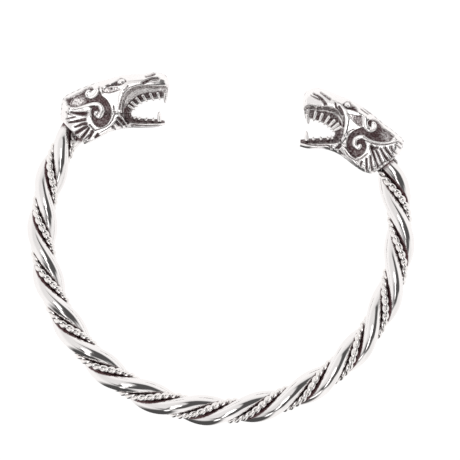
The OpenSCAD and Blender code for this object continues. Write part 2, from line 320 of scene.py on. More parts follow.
def make_piece(name: str, surface: Surface) -> bpy.types.Object:
    """A Blender object from a surface, with its tarnish and painted shade as the attribute of that name.

    Args:
        name: Name of the object and its mesh.
        surface: The surface, in millimetres.

    Returns:
        The object, which sits at the origin with its place in its mesh.
    """
    mesh = bpy.data.meshes.new(name)
    corners = np.concatenate([surface.quads.ravel(), surface.fans.ravel()]).astype(np.int32)
    sizes = np.concatenate([np.full(len(surface.quads), 4), np.full(len(surface.fans), 3)])
    starts = np.concatenate([[0], np.cumsum(sizes)[:-1]]).astype(np.int32)
    mesh.vertices.add(len(surface.points))
    mesh.vertices.foreach_set("co", (surface.points * MM).astype(np.float32).ravel())
    mesh.loops.add(len(corners))
    mesh.loops.foreach_set("vertex_index", corners)
    mesh.polygons.add(len(sizes))
    mesh.polygons.foreach_set("loop_start", starts)
    mesh.polygons.foreach_set("use_smooth", np.ones(len(sizes), dtype=bool))
    mesh.update(calc_edges=True)
    mesh.validate()
    dark = mesh.attributes.new("tarnish", "FLOAT", "POINT")
    dark.data.foreach_set("value", surface.tarnish.astype(np.float32))
    piece = bpy.data.objects.new(name, mesh)
    bpy.context.scene.collection.objects.link(piece)
    return piece


def settle(piece: bpy.types.Object, node: str, material: bpy.types.Material) -> None:
    """Dresses a piece, lets it ride on the ring and puts it in the place of its CAD node.

    Args:
        piece: The piece.
        node: The CAD node that it stands for.
        material: Its finish.
    """
    piece.data.materials.append(material)
    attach(piece, BODY)
    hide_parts(node)
    log.info("%s: %d faces in %s", piece.name, len(piece.data.polygons), material.name)


# Shader maths


def arithmetic(name: str, swapped: bool = False) -> Callable[["Expr", "Expr | float"], "Expr"]:
    """Makes an arithmetic method for Expr.

    Args:
        name: The operation of a Math node.
        swapped: Whether the other value comes first.

    Returns:
        The method, which takes the other value.
    """

    def method(self: "Expr", other: "Expr | float") -> "Expr":
        """The operation on both values."""
        first, second = (other, self) if swapped else (self, other)
        return self.tree.node("ShaderNodeMath", {"operation": name}, {0: first, 1: second})

    return method


@dataclass(frozen=True)
class Expr:
    """A value in a shader: a node's output socket, with the arithmetic that is used on it."""

    tree: "Shader"
    socket: bpy.types.NodeSocket
    __add__ = __radd__ = arithmetic("ADD")
    __sub__, __rsub__ = arithmetic("SUBTRACT"), arithmetic("SUBTRACT", swapped=True)
    __mul__ = __rmul__ = arithmetic("MULTIPLY")
    __truediv__ = arithmetic("DIVIDE")

    def root(self) -> "Expr":
        """Square root."""
        return self.tree.node("ShaderNodeMath", {"operation": "SQRT"}, {0: self})

    def clamped(self) -> "Expr":
        """The value held between 0 and 1."""
        settings = {"operation": "ADD", "use_clamp": True}
        return self.tree.node("ShaderNodeMath", settings, {0: self, 1: 0.0})

    def ramp(self, low: float, high: float) -> "Expr":
        """Smooth rise from 0 at low to 1 at high."""
        inputs = {"Value": self, "From Min": low, "From Max": high}
        return self.tree.node("ShaderNodeMapRange", {"interpolation_type": "SMOOTHSTEP"}, inputs)


@dataclass(frozen=True)
class Shader:
    """The node tree of a material or a world."""

    nodes: bpy.types.Nodes
    links: bpy.types.NodeLinks

    @classmethod
    def of(cls, owner: bpy.types.ID) -> "Shader":
        """The emptied tree of a new material or world.

        Args:
            owner: The material or world.

        Returns:
            Its tree.
        """
        owner.use_nodes = True
        owner.node_tree.nodes.clear()
        return cls(owner.node_tree.nodes, owner.node_tree.links)

    def node(self, kind: str, settings: dict[str, Any], inputs: dict[Any, Any], output: Any = 0) -> Expr:
        """Adds a node.

        Args:
            kind: The node's type.
            settings: Its properties, set first.
            inputs: Values or expressions by socket name or number.
            output: Name or number of the output that is returned.

        Returns:
            The output as an expression.
        """
        made = self.nodes.new(kind)
        for key, value in settings.items():
            setattr(made, key, value)
        for key, value in inputs.items():
            if isinstance(value, Expr):
                self.links.new(value.socket, made.inputs[key])
            else:
                made.inputs[key].default_value = value
        return Expr(self, made.outputs[output])

    def finish(self, kind: str, surface: Expr) -> None:
        """Adds the output node and links the surface to it."""
        self.links.new(surface.socket, self.nodes.new(kind).inputs["Surface"])

    def mix(self, share: Expr, a: Any, b: Any) -> Expr:
        """Colour between a and b."""
        return self.node("ShaderNodeMix", {"data_type": "RGBA"}, {0: share, 6: a, 7: b}, 2)

    def noise(self, place: Expr, scale: float, detail: float) -> Expr:
        """Cloudy noise about one half."""
        return self.node("ShaderNodeTexNoise", {}, {"Vector": place, "Scale": scale, "Detail": detail})


def colour(red: float, green: float, blue: float) -> Colour:
    """An opaque colour."""
    return (red, green, blue, 1.0)


@dataclass(frozen=True)
class SilverFinish:
    """Polished silver that goes dark by the piece's attribute of tarnish and painted shade; the tarnish
    below stands for both.
    """

    name: str  # Name of the material
    bright: Colour  # Colour of the polished metal
    dark: Colour = colour(0.055, 0.026, 0.028)  # Colour of the tarnish and of the painted shade
    polish: float = 0.05  # Roughness of the polished metal
    dull: float = 0.42  # Roughness of the tarnish
    waviness: float = 0.00004  # Height of the surface's slow waves, in metres
    wave_scale: float = 300.0  # Waves to a metre
    grain: float = 0.000003  # Height of the fine scratches, in metres
    grain_scale: float = 9000.0  # Scratches to a metre
    cloud_scale: float = 900.0  # Clouds in the tarnish, to a metre
    clouded: Pair = (0.82, 0.36)  # Least share of the tarnish among the clouds, and what they add to it
    cloud_dull: float = 0.05  # Roughness that the clouds add
    # Specks in the tarnish, to a metre, and the noise at which they start and end.
    specks: Triple = (4200.0, 0.36, 0.64)
    specked: Pair = (0.15, 1.7)  # How far the specks change full tarnish and half tarnish
    films: Triple = (160.0, 0.35, 0.75)  # Patches of thin film on the polish, in the same way
    film: float = 0.965  # Brightness of the polish under the film, as a share
    matt: float = 0.35  # Share of the metal's shine that the tarnish takes

    def material(self) -> bpy.types.Material:
        """The finish as a material.

        The dark share is the attribute of tarnish and painted shade, made uneven by clouds and by
        specks, which count most where the attribute times what it lacks of 1 is high. The share mixes
        the two colours, dulls the polish and takes some of the metal's shine.

        Returns:
            The material.
        """
        made = bpy.data.materials.new(self.name)
        tree = Shader.of(made)
        place = tree.node("ShaderNodeTexCoord", {}, {}, "Object")
        tarnish = tree.node("ShaderNodeAttribute", {"attribute_name": "tarnish"}, {}, "Fac")
        clouds = tree.noise(place, self.cloud_scale, 3.0)
        specks = tree.noise(place, self.specks[0], 2.0).ramp(*self.specks[1:])
        patchy = self.specked[0] * tarnish + self.specked[1] * tarnish * (1.0 - tarnish)
        cloudy = tarnish * (self.clouded[0] + self.clouded[1] * clouds)
        share = (cloudy + (specks - 0.5) * patchy).clamped()
        film = tree.noise(place, self.films[0], 2.0).ramp(*self.films[1:])
        polished = tree.mix(film, self.bright, colour(*(c * self.film for c in self.bright[:3])))
        base = tree.mix(share, polished, self.dark)
        rough = self.polish + share * (self.dull - self.polish) + self.cloud_dull * clouds
        waves = tree.noise(place, self.wave_scale, 1.0)
        scratches = tree.noise(place, self.grain_scale, 1.0)
        height = waves * self.waviness + scratches * self.grain
        bump = tree.node("ShaderNodeBump", {}, {"Strength": 1.0, "Distance": 1.0, "Height": height})
        inputs = {
            "Base Color": base, "Metallic": 1.0 - self.matt * share, "Roughness": rough, "Normal": bump,
        }
        tree.finish("ShaderNodeOutputMaterial", tree.node("ShaderNodeBsdfPrincipled", {}, inputs))
        return made


# The cable


@dataclass(frozen=True)
class Rest:
    """How the ring lies: lifted and tilted a little onto its scrolls and the back of its cable."""

    lift: float  # Height of the ring's middle above the floor
    slope: float  # Rise towards the heads for each millimetre of Y
    lean: float  # Rise to the side for each millimetre, as a share of the slope

    def place(self, points: Array) -> Array:
        """Points turned about X by the slope's angle, then about Y by the lean's, then lifted.

        Args:
            points: The points, in millimetres.

        Returns:
            The points as the ring lies.
        """
        a, b = math.atan(self.slope), math.atan(self.slope * self.lean)
        x, y, z = points[..., 0], points[..., 1], points[..., 2]
        y, z = y * math.cos(a) - z * math.sin(a), y * math.sin(a) + z * math.cos(a)
        x, z = x * math.cos(b) + z * math.sin(b), z * math.cos(b) - x * math.sin(b)
        return np.stack([x, y, z + self.lift], -1)


@dataclass(frozen=True)
class Lay:
    """The way that the wires turn about the ring's centre line, to the left as they go."""

    ring_r: float = 34.0  # Radius of the ring's centre line
    turn_l: float = 21.0  # Length of one turn where the lay starts
    growth: float = 0.019  # Share by which each turn is longer than the one before it
    start: float = -95.5  # Angle along the ring where the first rope lies on top
    left_deg: float = 55.7 - 270.0  # Angle along the ring of the left head's socket
    right_deg: float = 90.0 - 67.3  # Angle along the ring of the right head's socket
    end_l: float = 3.1  # Length of cable inside a socket
    taper: float = 0.12  # Share by which the cable narrows where it enters a head
    taper_l: float = 3.0  # Length over which it narrows
    rest_r: float = 2.87  # Distance from the centre line down to the floor at the back of the ring

    def places(self, count: int) -> Array:
        """Angles from one end of the cable to the other, evenly apart."""
        end = math.degrees(self.end_l / self.ring_r)
        return np.linspace(self.left_deg - end, self.right_deg + end, count)

    def turns(self, deg: Array) -> Array:
        """Turns of the lay up to an angle, where each turn is longer than the last.

        The angle past the start is the first turn's times the number of turns, plus half the
        growth of a turn times that number's square, and this is solved for the number.

        Args:
            deg: Angles along the ring.

        Returns:
            The number of turns at each.
        """
        turn = math.degrees(self.turn_l / self.ring_r)
        grow = self.growth * turn / 2.0
        return (np.sqrt(turn * turn + 4.0 * grow * (deg - self.start)) - turn) / (2.0 * grow)

    def clear(self, deg: Array) -> Array:
        """Degrees from the nearer head's socket."""
        return np.minimum(deg - self.left_deg, self.right_deg - deg)

    def girth(self, deg: Array) -> Array:
        """The cable's size as a share: whole along the ring, narrowing inside the heads."""
        narrow = 1.0 - smooth(self.clear(deg) / math.degrees(self.taper_l / self.ring_r))
        return 1.0 - self.taper * narrow

    def socket_shade(self, deg: Array, dark: float, start: float, over: float) -> Array:
        """Painted shade of the socket's shadow near the heads: whole up to the start, in degrees, then
        falling over a few.
        """
        return dark * (1.0 - rise(self.clear(deg), start, over))

    def out(self, deg: Array) -> Array:
        """Direction from the ring's middle outwards."""
        a = np.radians(deg)
        return np.stack([np.cos(a), np.sin(a), np.zeros_like(a)], -1)

    def wire(self, deg: Array, radius: float, lag: float) -> tuple[Array, Array]:
        """Centre line of one wire.

        The wire stands off the ring's centre line by the radius, at an angle that falls by a
        whole turn for each turn of the lay: its sine goes outwards and its cosine upwards.

        Args:
            deg: Angles along the ring.
            radius: Distance from the ring's centre line.
            lag: Share of a turn by which the wire lags behind the first one.

        Returns:
            Places of the wire, and the directions from the centre line to them.
        """
        a = -2.0 * math.pi * (self.turns(deg) - lag)[:, None]
        side = np.sin(a) * self.out(deg) + np.cos(a) * UP
        return self.ring_r * self.out(deg) + (radius * self.girth(deg))[:, None] * side, side


@dataclass(frozen=True)
class Cable:
    """Two thick polished wires with two fine twisted ropes in the grooves between them."""

    lay: Lay  # The way that the wires turn
    rest: Rest  # The way that the ring lies
    strand_r: float = 1.42  # Radius of a thick wire
    helix_r: float = 1.46  # Distance of a thick wire from the centre line
    groove_r: float = 1.76  # Distance of a rope from the centre line
    thread_r: float = 0.4  # Radius of each of the two thin wires of a rope
    thread_off: float = 0.29  # Distance of a thin wire from the rope's middle
    thread_turn: float = 3.3  # Length along the rope in which its two wires turn once
    # Width of the painted black groove shade on the thick wire outside a rope and on the one inside.
    groove_shade: Pair = (0.78, 0.5)
    fade: float = 0.2  # Width over which that painted shade fades
    # Painted shade of the socket's shadow on a thick wire at a head, and the degrees over which
    # it stays and then fades.
    strand_socket_shade: Triple = (0.9, 0.2, 1.4)
    rope_socket_shade: Triple = (0.7, 0.8, 2.6)  # The same of a rope
    # Cosine from which a thin wire gets painted shade towards the other one, in the crevice
    # between them, and the width of the change.
    facing_shade: Pair = (0.48, 0.24)
    buried_shade: Pair = (0.5, 0.4)  # The same painted shade towards the ring's centre line
    # Painted shade of a thin wire below the rope's middle, low in the groove, the share of the way
    # down at which it starts, and the width of the change.
    under: Triple = (0.7, 0.6, 0.4)
    strand_grid: tuple[int, int] = (640, 40)  # Sections of a thick wire and points round each
    thread_grid: tuple[int, int] = (1180, 12)  # The same of a thin wire
    count: int = 2  # Number of thick wires, and of ropes

    def strand(self, index: int) -> Surface:
        """One thick wire: a round profile carried along its line. Its darkness is painted shade: beside
        each rope, over the width of the groove's shade, and where it enters a head.

        Args:
            index: Which wire, from 0.

        Returns:
            The wire's surface, laid to rest.
        """
        deg = self.lay.places(self.strand_grid[0])
        lag = (index + 0.5) / self.count
        centre, side = self.lay.wire(deg, self.helix_r, lag)
        way = unit(np.gradient(centre, axis=0))
        girth = self.lay.girth(deg)
        rings = ring_about(centre, way, side, self.strand_r * girth, self.strand_grid[1])
        reach = self.thread_off + self.thread_r
        dark = np.repeat(self.lay.socket_shade(deg, *self.strand_socket_shade)[:, None], self.strand_grid[1], 1)
        # Painted shade in the groove along each rope
        for rope in range(self.count):
            middle, _ = self.lay.wire(deg, self.groove_r, rope / self.count)
            apart = rings - middle[:, None]
            apart -= np.sum(apart * way[:, None], -1, keepdims=True) * way[:, None]
            gap = np.linalg.norm(apart, axis=-1) - reach * girth[:, None]
            wide = self.groove_shade[0 if rope == index else 1]
            dark = np.maximum(dark, 1.0 - rise(gap, wide, self.fade))
        return closed_loft(self.rest.place(rings), dark)

    def rope(self, index: int) -> Surface:
        """One fine rope: two thin round wires that turn to the left about its line. They carry painted
        shade where they face each other or the grooves, low in the groove and near the heads.

        Args:
            index: Which rope, from 0.

        Returns:
            The surface of both wires, laid to rest.
        """
        deg = self.lay.places(self.thread_grid[0])
        middle, side = self.lay.wire(deg, self.groove_r, index / self.count)
        way = unit(np.gradient(middle, axis=0))
        x = square_to(side, way)
        y = np.cross(way, x)
        run = np.concatenate([[0.0], np.cumsum(np.linalg.norm(np.diff(middle, axis=0), axis=1))])
        girth = self.lay.girth(deg)
        # Painted shade of the socket's shadow on the rope
        socket_shade = self.lay.socket_shade(deg, *self.rope_socket_shade)[:, None]
        low_shade, low_start, low_over = self.under
        threads = []
        for half in (0.0, math.pi):
            turn = (half - 2.0 * math.pi * run / self.thread_turn)[:, None]
            off = np.cos(turn) * x + np.sin(turn) * y
            centre = middle + off * (self.thread_off * girth)[:, None]
            thread_way = unit(np.gradient(centre, axis=0))
            rings = ring_about(centre, thread_way, off, self.thread_r * girth, self.thread_grid[1])
            normal = unit(rings - centre[:, None])
            # Painted shade in the crevice between the threads, towards the core and low in the groove
            facing_shade = rise(-np.sum(normal * off[:, None], -1), *self.facing_shade)
            buried_shade = rise(-np.sum(normal * x[:, None], -1), *self.buried_shade)
            under = low_shade * rise(-np.sum(off * x, -1)[:, None], low_start, low_over)
            dark = np.maximum(np.maximum(facing_shade, buried_shade), np.maximum(under, socket_shade))
            threads.append(closed_loft(self.rest.place(rings), dark))
        return threads[0].joined(threads[1])

    def build(self, wire: SilverFinish, rope: SilverFinish) -> None:
        """Builds and dresses the four pieces of the cable.

        Args:
            wire: Finish of the thick wires.
            rope: Finish of the ropes.
        """
        bright, fine = wire.material(), rope.material()
        for i in range(self.count):
            strand = make_piece(f"thick_wire_{i + 1}", self.strand(i))
            settle(strand, f"strand_{i + 1}", bright)
            twisted = make_piece(f"twisted_rope_{i + 1}", self.rope(i))
            settle(twisted, f"rope_{i + 1}", fine)


# The heads


class Form(Enum):
    """What a mark does to the cheek."""

    FIELD = "a sunk area inside the outline"
    BAND = "a raised round band along the line"
    GROOVE = "a cut along the line"
    BUMP = "a raised oval"
    # A sheen stands partly for wear and partly for a painted sheen, a lighter look from reflected light
    SHEEN = "a soft oval in which the dark is worn thin"


# How marks are shaped across their lines. A pair gives where a change starts, or where a
# sheen ends, and the width that it takes: millimetres for a field's wall, and shares of the
# length for a band's swell and of half the mark's width for the rest. A round is the fall
# from the middle to the edge, in millimetres.
MARGIN = 0.4  # Distance past a mark's width at which it surely ends, in millimetres
FIELD_WALL: Pair = (-0.06, 0.2)
BAND_SWELL: Pair = (0.25, 0.5)
BAND_EDGE: Pair = (0.86, 0.2)
BAND_ROUND = 0.34
GROOVE_WALL: Pair = (0.35, 0.95)
GROOVE_DEEP = 0.66  # Depth as a share of the mean width
HAIR_WIDE = 1.1  # Real width of a stroke of the mane, as a share of the one told
BUMP_EDGE: Pair = (0.85, 0.25)
BUMP_ROUND = 0.3
SHEEN_END: Pair = (1.15, 1.0)


@dataclass(frozen=True)
class Mark:
    """One feature of the relief."""

    form: Form  # What it does
    # Outline or line. Each place is two numbers in hundredths: towards the nose, of the head's length,
    # and towards the crown, of its height.
    line: Line
    wide: Pair = (0.2, 0.2)  # Width at the line's start and end, in millimetres; a bump's two widths
    deep: float = 0.2  # Depth of a field or groove, or height of a band or bump above the cheek
    dark: float = 0.9  # Tarnish in it, from 0 to 1
    turn: float = 0.0  # A bump's slant, in degrees

    def shaped(self, line: Array, spot: Array, h: Array, d: Array) -> tuple[Array, Array]:
        """The relief with this mark in it.

        A field sinks inside its outline. A band comes back above the cheek, round across its
        line. A groove is cut as a smooth hollow. A bump is set on, round across the distance
        from its middle in half widths, and a sheen thins the tarnish over that distance: partly
        wear, partly a painted sheen.

        Args:
            line: The mark's line, in millimetres.
            spot: Places on the cheek.
            h: Heights there.
            d: Tarnish there.

        Returns:
            The heights and the tarnish after it.
        """
        start, end = self.wide
        if self.form is Form.FIELD:
            inside = rise(signed_distance(spot, rounded(line, closed=True)), *FIELD_WALL)
            return np.minimum(h, -self.deep * inside), np.maximum(d, self.dark * inside)
        if self.form is Form.BAND:
            apart, share = path_distance(spot, rounded(line))
            radius = (start + (end - start) * rise(share, *BAND_SWELL)) / 2.0
            t = np.clip(apart / radius, 0.0, 1.0)
            top = self.deep - BAND_ROUND * (1.0 - np.sqrt(1.0 - t**2))
            h = np.where(apart < radius, np.maximum(h, top), h)
            return h, d * rise(apart / radius, *BAND_EDGE)
        if self.form is Form.GROOVE:
            apart, share = path_distance(spot, rounded(line))
            radius = (start + (end - start) * share) / 2.0
            cut = 1.0 - rise(apart / radius, *GROOVE_WALL)
            return h - self.deep * cut, np.maximum(d, self.dark * cut)
        x, y = turned_by(self.turn)
        off = spot - line[0]
        r = np.hypot(off @ x / (start / 2.0), off @ y / (end / 2.0))
        if self.form is Form.SHEEN:
            return h, d * (1.0 - (1.0 - self.dark) * fall(r, *SHEEN_END))
        top = self.deep - BUMP_ROUND + BUMP_ROUND * np.sqrt(np.clip(1.0 - r**2, 0.0, 1.0))
        return np.where(r < 1.0, np.maximum(h, top), h), d * rise(r, *BUMP_EDGE)


def groove(line: Line, start: float, end: float, dark: float = 0.9) -> Mark:
    """A groove two thirds as deep as it is wide."""
    return Mark(Form.GROOVE, line, (start, end), GROOVE_DEEP * (start + end) / 2.0, dark)


def hair(line: Line, start: float, end: float) -> Mark:
    """A stroke of the mane: a black groove, a little wider than told."""
    return groove(line, HAIR_WIDE * start, HAIR_WIDE * end, 1.0)


# The section columns: the mouth's edge and the outline, two shares each, of the head's length
# and of its height; the width as a share of the face's there; the distance to the lip's crest
# as a share of the head's height; and how square the section ends.
LEFT_CROWN = (
    (0.945, 0.70, 0.955, 1.02, 0.66, 0.16, 0.05),
    (0.915, 0.67, 0.920, 1.14, 0.88, 0.22, 0.05),
    (0.845, 0.65, 0.805, 1.19, 0.97, 0.24, 0.05),
    (0.755, 0.63, 0.665, 1.15, 1.00, 0.28, 0.05),
    (0.675, 0.57, 0.505, 1.13, 1.00, 0.31, 0.05),
    (0.620, 0.48, 0.335, 1.04, 1.00, 0.28, 0.05),
    (0.595, 0.42, 0.185, 0.95, 1.00, 0.22, 0.05),
    (0.585, 0.38, 0.025, 0.82, 1.00, 0.19, 0.05),
    (0.585, 0.37, -0.095, 0.68, 1.00, 0.18, 0.05),
    (0.585, 0.36, -0.120, 0.46, 0.98, 0.17, 0.10),
)
LEFT_JAW = (
    (0.590, 0.32, 0.235, -0.15, 0.97, 0.15, 0.05),
    (0.605, 0.30, 0.375, 0.00, 0.94, 0.16, 0.05),
    (0.645, 0.28, 0.545, 0.07, 0.88, 0.14, 0.05),
    (0.735, 0.26, 0.705, 0.08, 0.86, 0.12, 0.05),
    (0.845, 0.25, 0.845, 0.09, 0.84, 0.11, 0.05),
    (0.915, 0.22, 0.920, 0.13, 0.60, 0.06, 0.05),
)
RIGHT_CROWN = (
    (0.810, 0.90, 0.835, 1.26, 0.66, 0.16, 0.05),
    (0.775, 0.89, 0.805, 1.43, 0.88, 0.24, 0.05),
    (0.705, 0.86, 0.695, 1.51, 0.97, 0.25, 0.05),
    (0.635, 0.81, 0.555, 1.43, 1.00, 0.30, 0.05),
    (0.575, 0.74, 0.395, 1.30, 1.00, 0.33, 0.05),
    (0.535, 0.67, 0.265, 1.17, 1.00, 0.28, 0.05),
    (0.520, 0.63, 0.145, 1.00, 1.00, 0.20, 0.05),
    (0.515, 0.61, 0.025, 0.80, 1.00, 0.16, 0.05),
    (0.515, 0.60, -0.095, 0.62, 1.00, 0.15, 0.05),
    (0.515, 0.59, -0.175, 0.45, 0.96, 0.15, 0.10),
)
RIGHT_JAW = (
    (0.520, 0.555, 0.230, -0.16, 0.97, 0.14, 0.05),
    (0.530, 0.54, 0.330, -0.03, 0.94, 0.14, 0.05),
    (0.565, 0.52, 0.470, 0.18, 0.88, 0.13, 0.05),
    (0.655, 0.51, 0.605, 0.28, 0.86, 0.12, 0.05),
    (0.775, 0.50, 0.765, 0.29, 0.84, 0.12, 0.05),
    (0.855, 0.48, 0.865, 0.34, 0.60, 0.06, 0.05),
)
COLLAR_SHARES = (1.0, 0.75, 0.3, -0.3, -0.75, -1.0)
# Width of the face along the head, as a share of its greatest width.
FACE_PLACES = (-0.2, 0.0, 0.2, 0.35, 0.5, 0.7, 0.95)
FACE_SHARES = (0.86, 0.9, 0.98, 1.0, 0.96, 0.87, 0.8)

# Height over the lip's ledge, as a share of the section's, along the way to the lip's crest.
LEDGE_PLACES = (0.0, 0.5, 0.9, 1.14)
LEDGE_SHARES = (0.3, 0.44, 0.6, 1.0)

LEFT_MARKS = (
    # The ear and the disc round the big scroll
    Mark(Form.FIELD, ((-7.5, 67), (-2.5, 69), (2.5, 75), (7.5, 80), (12.5, 86), (15.5, 89.5),
        (18.5, 90.5), (20.7, 88), (21, 84.5), (19.5, 81), (17.8, 78), (18.1, 82), (17, 84.5),
        (14.8, 83.5), (13.1, 79), (13, 73), (14, 67.5), (18.5, 68.5), (22.5, 70), (26, 75), (26.8, 82),
        (28.3, 78), (29.8, 71.4), (34.1, 64.2), (37, 56), (38.9, 46), (39.3, 36), (38.3, 26),
        (35.7, 17), (31.9, 10.6), (27.5, 8.4), (23.5, 11), (20.5, 19), (18.8, 29), (18.3, 39),
        (18.8, 46.5), (13.5, 50.5), (8, 48.2), (1.8, 46.2), (-3.5, 50), (-6.5, 58)),
        deep=0.42, dark=0.95),
    # The leaf under the eye and the eye's socket
    Mark(Form.FIELD, ((31, 83), (33.5, 88), (37.5, 89.6), (42.5, 89.4), (47.5, 86), (44.5, 81.4),
        (40.5, 78.6), (35.5, 77.6), (31.5, 78.4)), deep=0.14, dark=0.42),
    Mark(Form.FIELD, ((32, 87.4), (36, 95), (38.5, 93), (42, 98), (45, 104), (48, 108), (51, 106.4),
        (54.3, 101.4), (52, 96.4), (48.5, 92.4), (44.5, 90.4), (38.5, 90.2), (34.5, 90)),
        deep=0.3, dark=0.9),
    # The big scroll and its tail
    Mark(Form.BAND, ((-8, 58), (-3.5, 48.6), (2, 46), (8.3, 48.4), (14.3, 52), (19.8, 54.6),
        (24.3, 54.8), (27.6, 51.4), (29.3, 45), (29.5, 38), (28, 32), (25.6, 30.6), (23.9, 33.6),
        (24, 36.6)), (0.5, 0.96), 0.16, 0.0),
    # The small curl at the ear's root, the middle of the ear, lightened by wear and a painted sheen, and
    # the eye
    Mark(Form.BAND, ((16.5, 81), (14.7, 80), (13.8, 75), (15, 69.6), (18, 67.6), (22, 71.2),
        (24.9, 78.4), (25.6, 87), (25, 92)), (0.5, 0.74), 0.14, 0.0),
    Mark(Form.SHEEN, ((5.5, 59),), (3.8, 2.4), dark=0.42, turn=20.0),
    Mark(Form.BUMP, ((48.6, 100.4),), (1.55, 0.98), 0.12, 0.0, 20.0),
    groove(((41.5, 52), (42, 42), (42.3, 36), (40.5, 25), (37, 15), (33, 9.4), (28.5, 6), (25, 4),
        (22.5, 2)), 0.16, 0.24),
    groove(((-5, 62), (2, 71.5), (8, 78), (12, 83.5), (15.5, 87), (18.8, 87.5), (20, 84.5)),
        0.36, 0.4, 1.0),
    groove(((17, 14), (22.5, 2)), 0.3, 0.2),
    groove(((27, 90), (26.8, 80), (26, 74)), 0.18, 0.26, 0.7),
    groove(((30.2, 88), (30.5, 77)), 0.18, 0.26, 0.7),
    groove(((31.3, 78.4), (36.5, 77.4), (41.5, 79), (47, 83.4)), 0.26, 0.2, 0.7),
    groove(((34.5, 89), (39.5, 93), (43.5, 98)), 0.3, 0.5, 0.9),
    groove(((39, 85.4), (39.6, 85)), 0.34, 0.34),
    # Nose
    groove(((73, 110.6), (77.5, 112.4), (81.5, 116)), 0.44, 0.6),
    groove(((70.5, 96.4), (75.5, 101.4), (79.5, 105.4), (86, 106)), 0.6, 0.46, 0.9),
    groove(((76, 98.5), (81, 101.5), (85.5, 101)), 0.22, 0.3, 0.5),
    # Behind the lip
    groove(((56, 92), (54, 86), (51.5, 82.6)), 0.16, 0.24, 0.7),
    groove(((57.3, 88), (54.8, 83)), 0.2, 0.24, 0.8),
    groove(((51.2, 71), (49.2, 63), (48, 54), (47.3, 45)), 0.26, 0.36, 0.85),
    groove(((50.5, 76.5), (51.5, 74.5)), 0.24, 0.24, 0.7),
    # The jaw's hinge and the lower lip
    groove(((49.5, 35), (52.5, 26), (55.5, 17)), 0.42, 0.6, 0.95),
    groove(((46, 27), (49.5, 20), (52.5, 12)), 0.62, 0.56, 0.95),
    groove(((44.5, 18), (48.5, 10)), 0.62, 0.5, 0.95),
    groove(((40.5, 9), (41.5, 5)), 0.5, 0.4, 0.8),
    groove(((47.5, 38), (48.5, 32)), 0.24, 0.2),
    groove(((58.5, 12), (62.5, 13.4), (72.5, 11.6), (87.5, 11)), 0.3, 0.34, 1.0),
    # The mane
    hair(((-6.5, 40), (-3.5, 34), (-0.5, 33)), 0.16, 0.2),
    hair(((-1.5, 38), (5.5, 35.6), (13, 34.6)), 0.3, 0.9),
    hair(((-6, 24.8), (-2.5, 26.6), (2.5, 29)), 0.2, 0.3),
    hair(((-3.5, 18), (3.5, 20.4), (12.5, 24)), 0.36, 0.6),
    hair(((3, 9.4), (6.5, 12), (10.5, 15.4), (13.5, 15)), 0.36, 0.6),
    hair(((3.5, -3), (7.5, 2), (11.5, 7), (14.5, 10)), 0.7, 0.5),
    hair(((8.5, -14), (11.5, -7), (14.5, 1), (16.5, 7)), 0.62, 0.4),
    hair(((12.5, -15), (16.5, -7)), 0.24, 0.3),
    hair(((16, -15), (18, -8), (20, 0)), 0.36, 0.64),
    hair(((23, -11), (25.5, -5)), 0.36, 0.46),
)
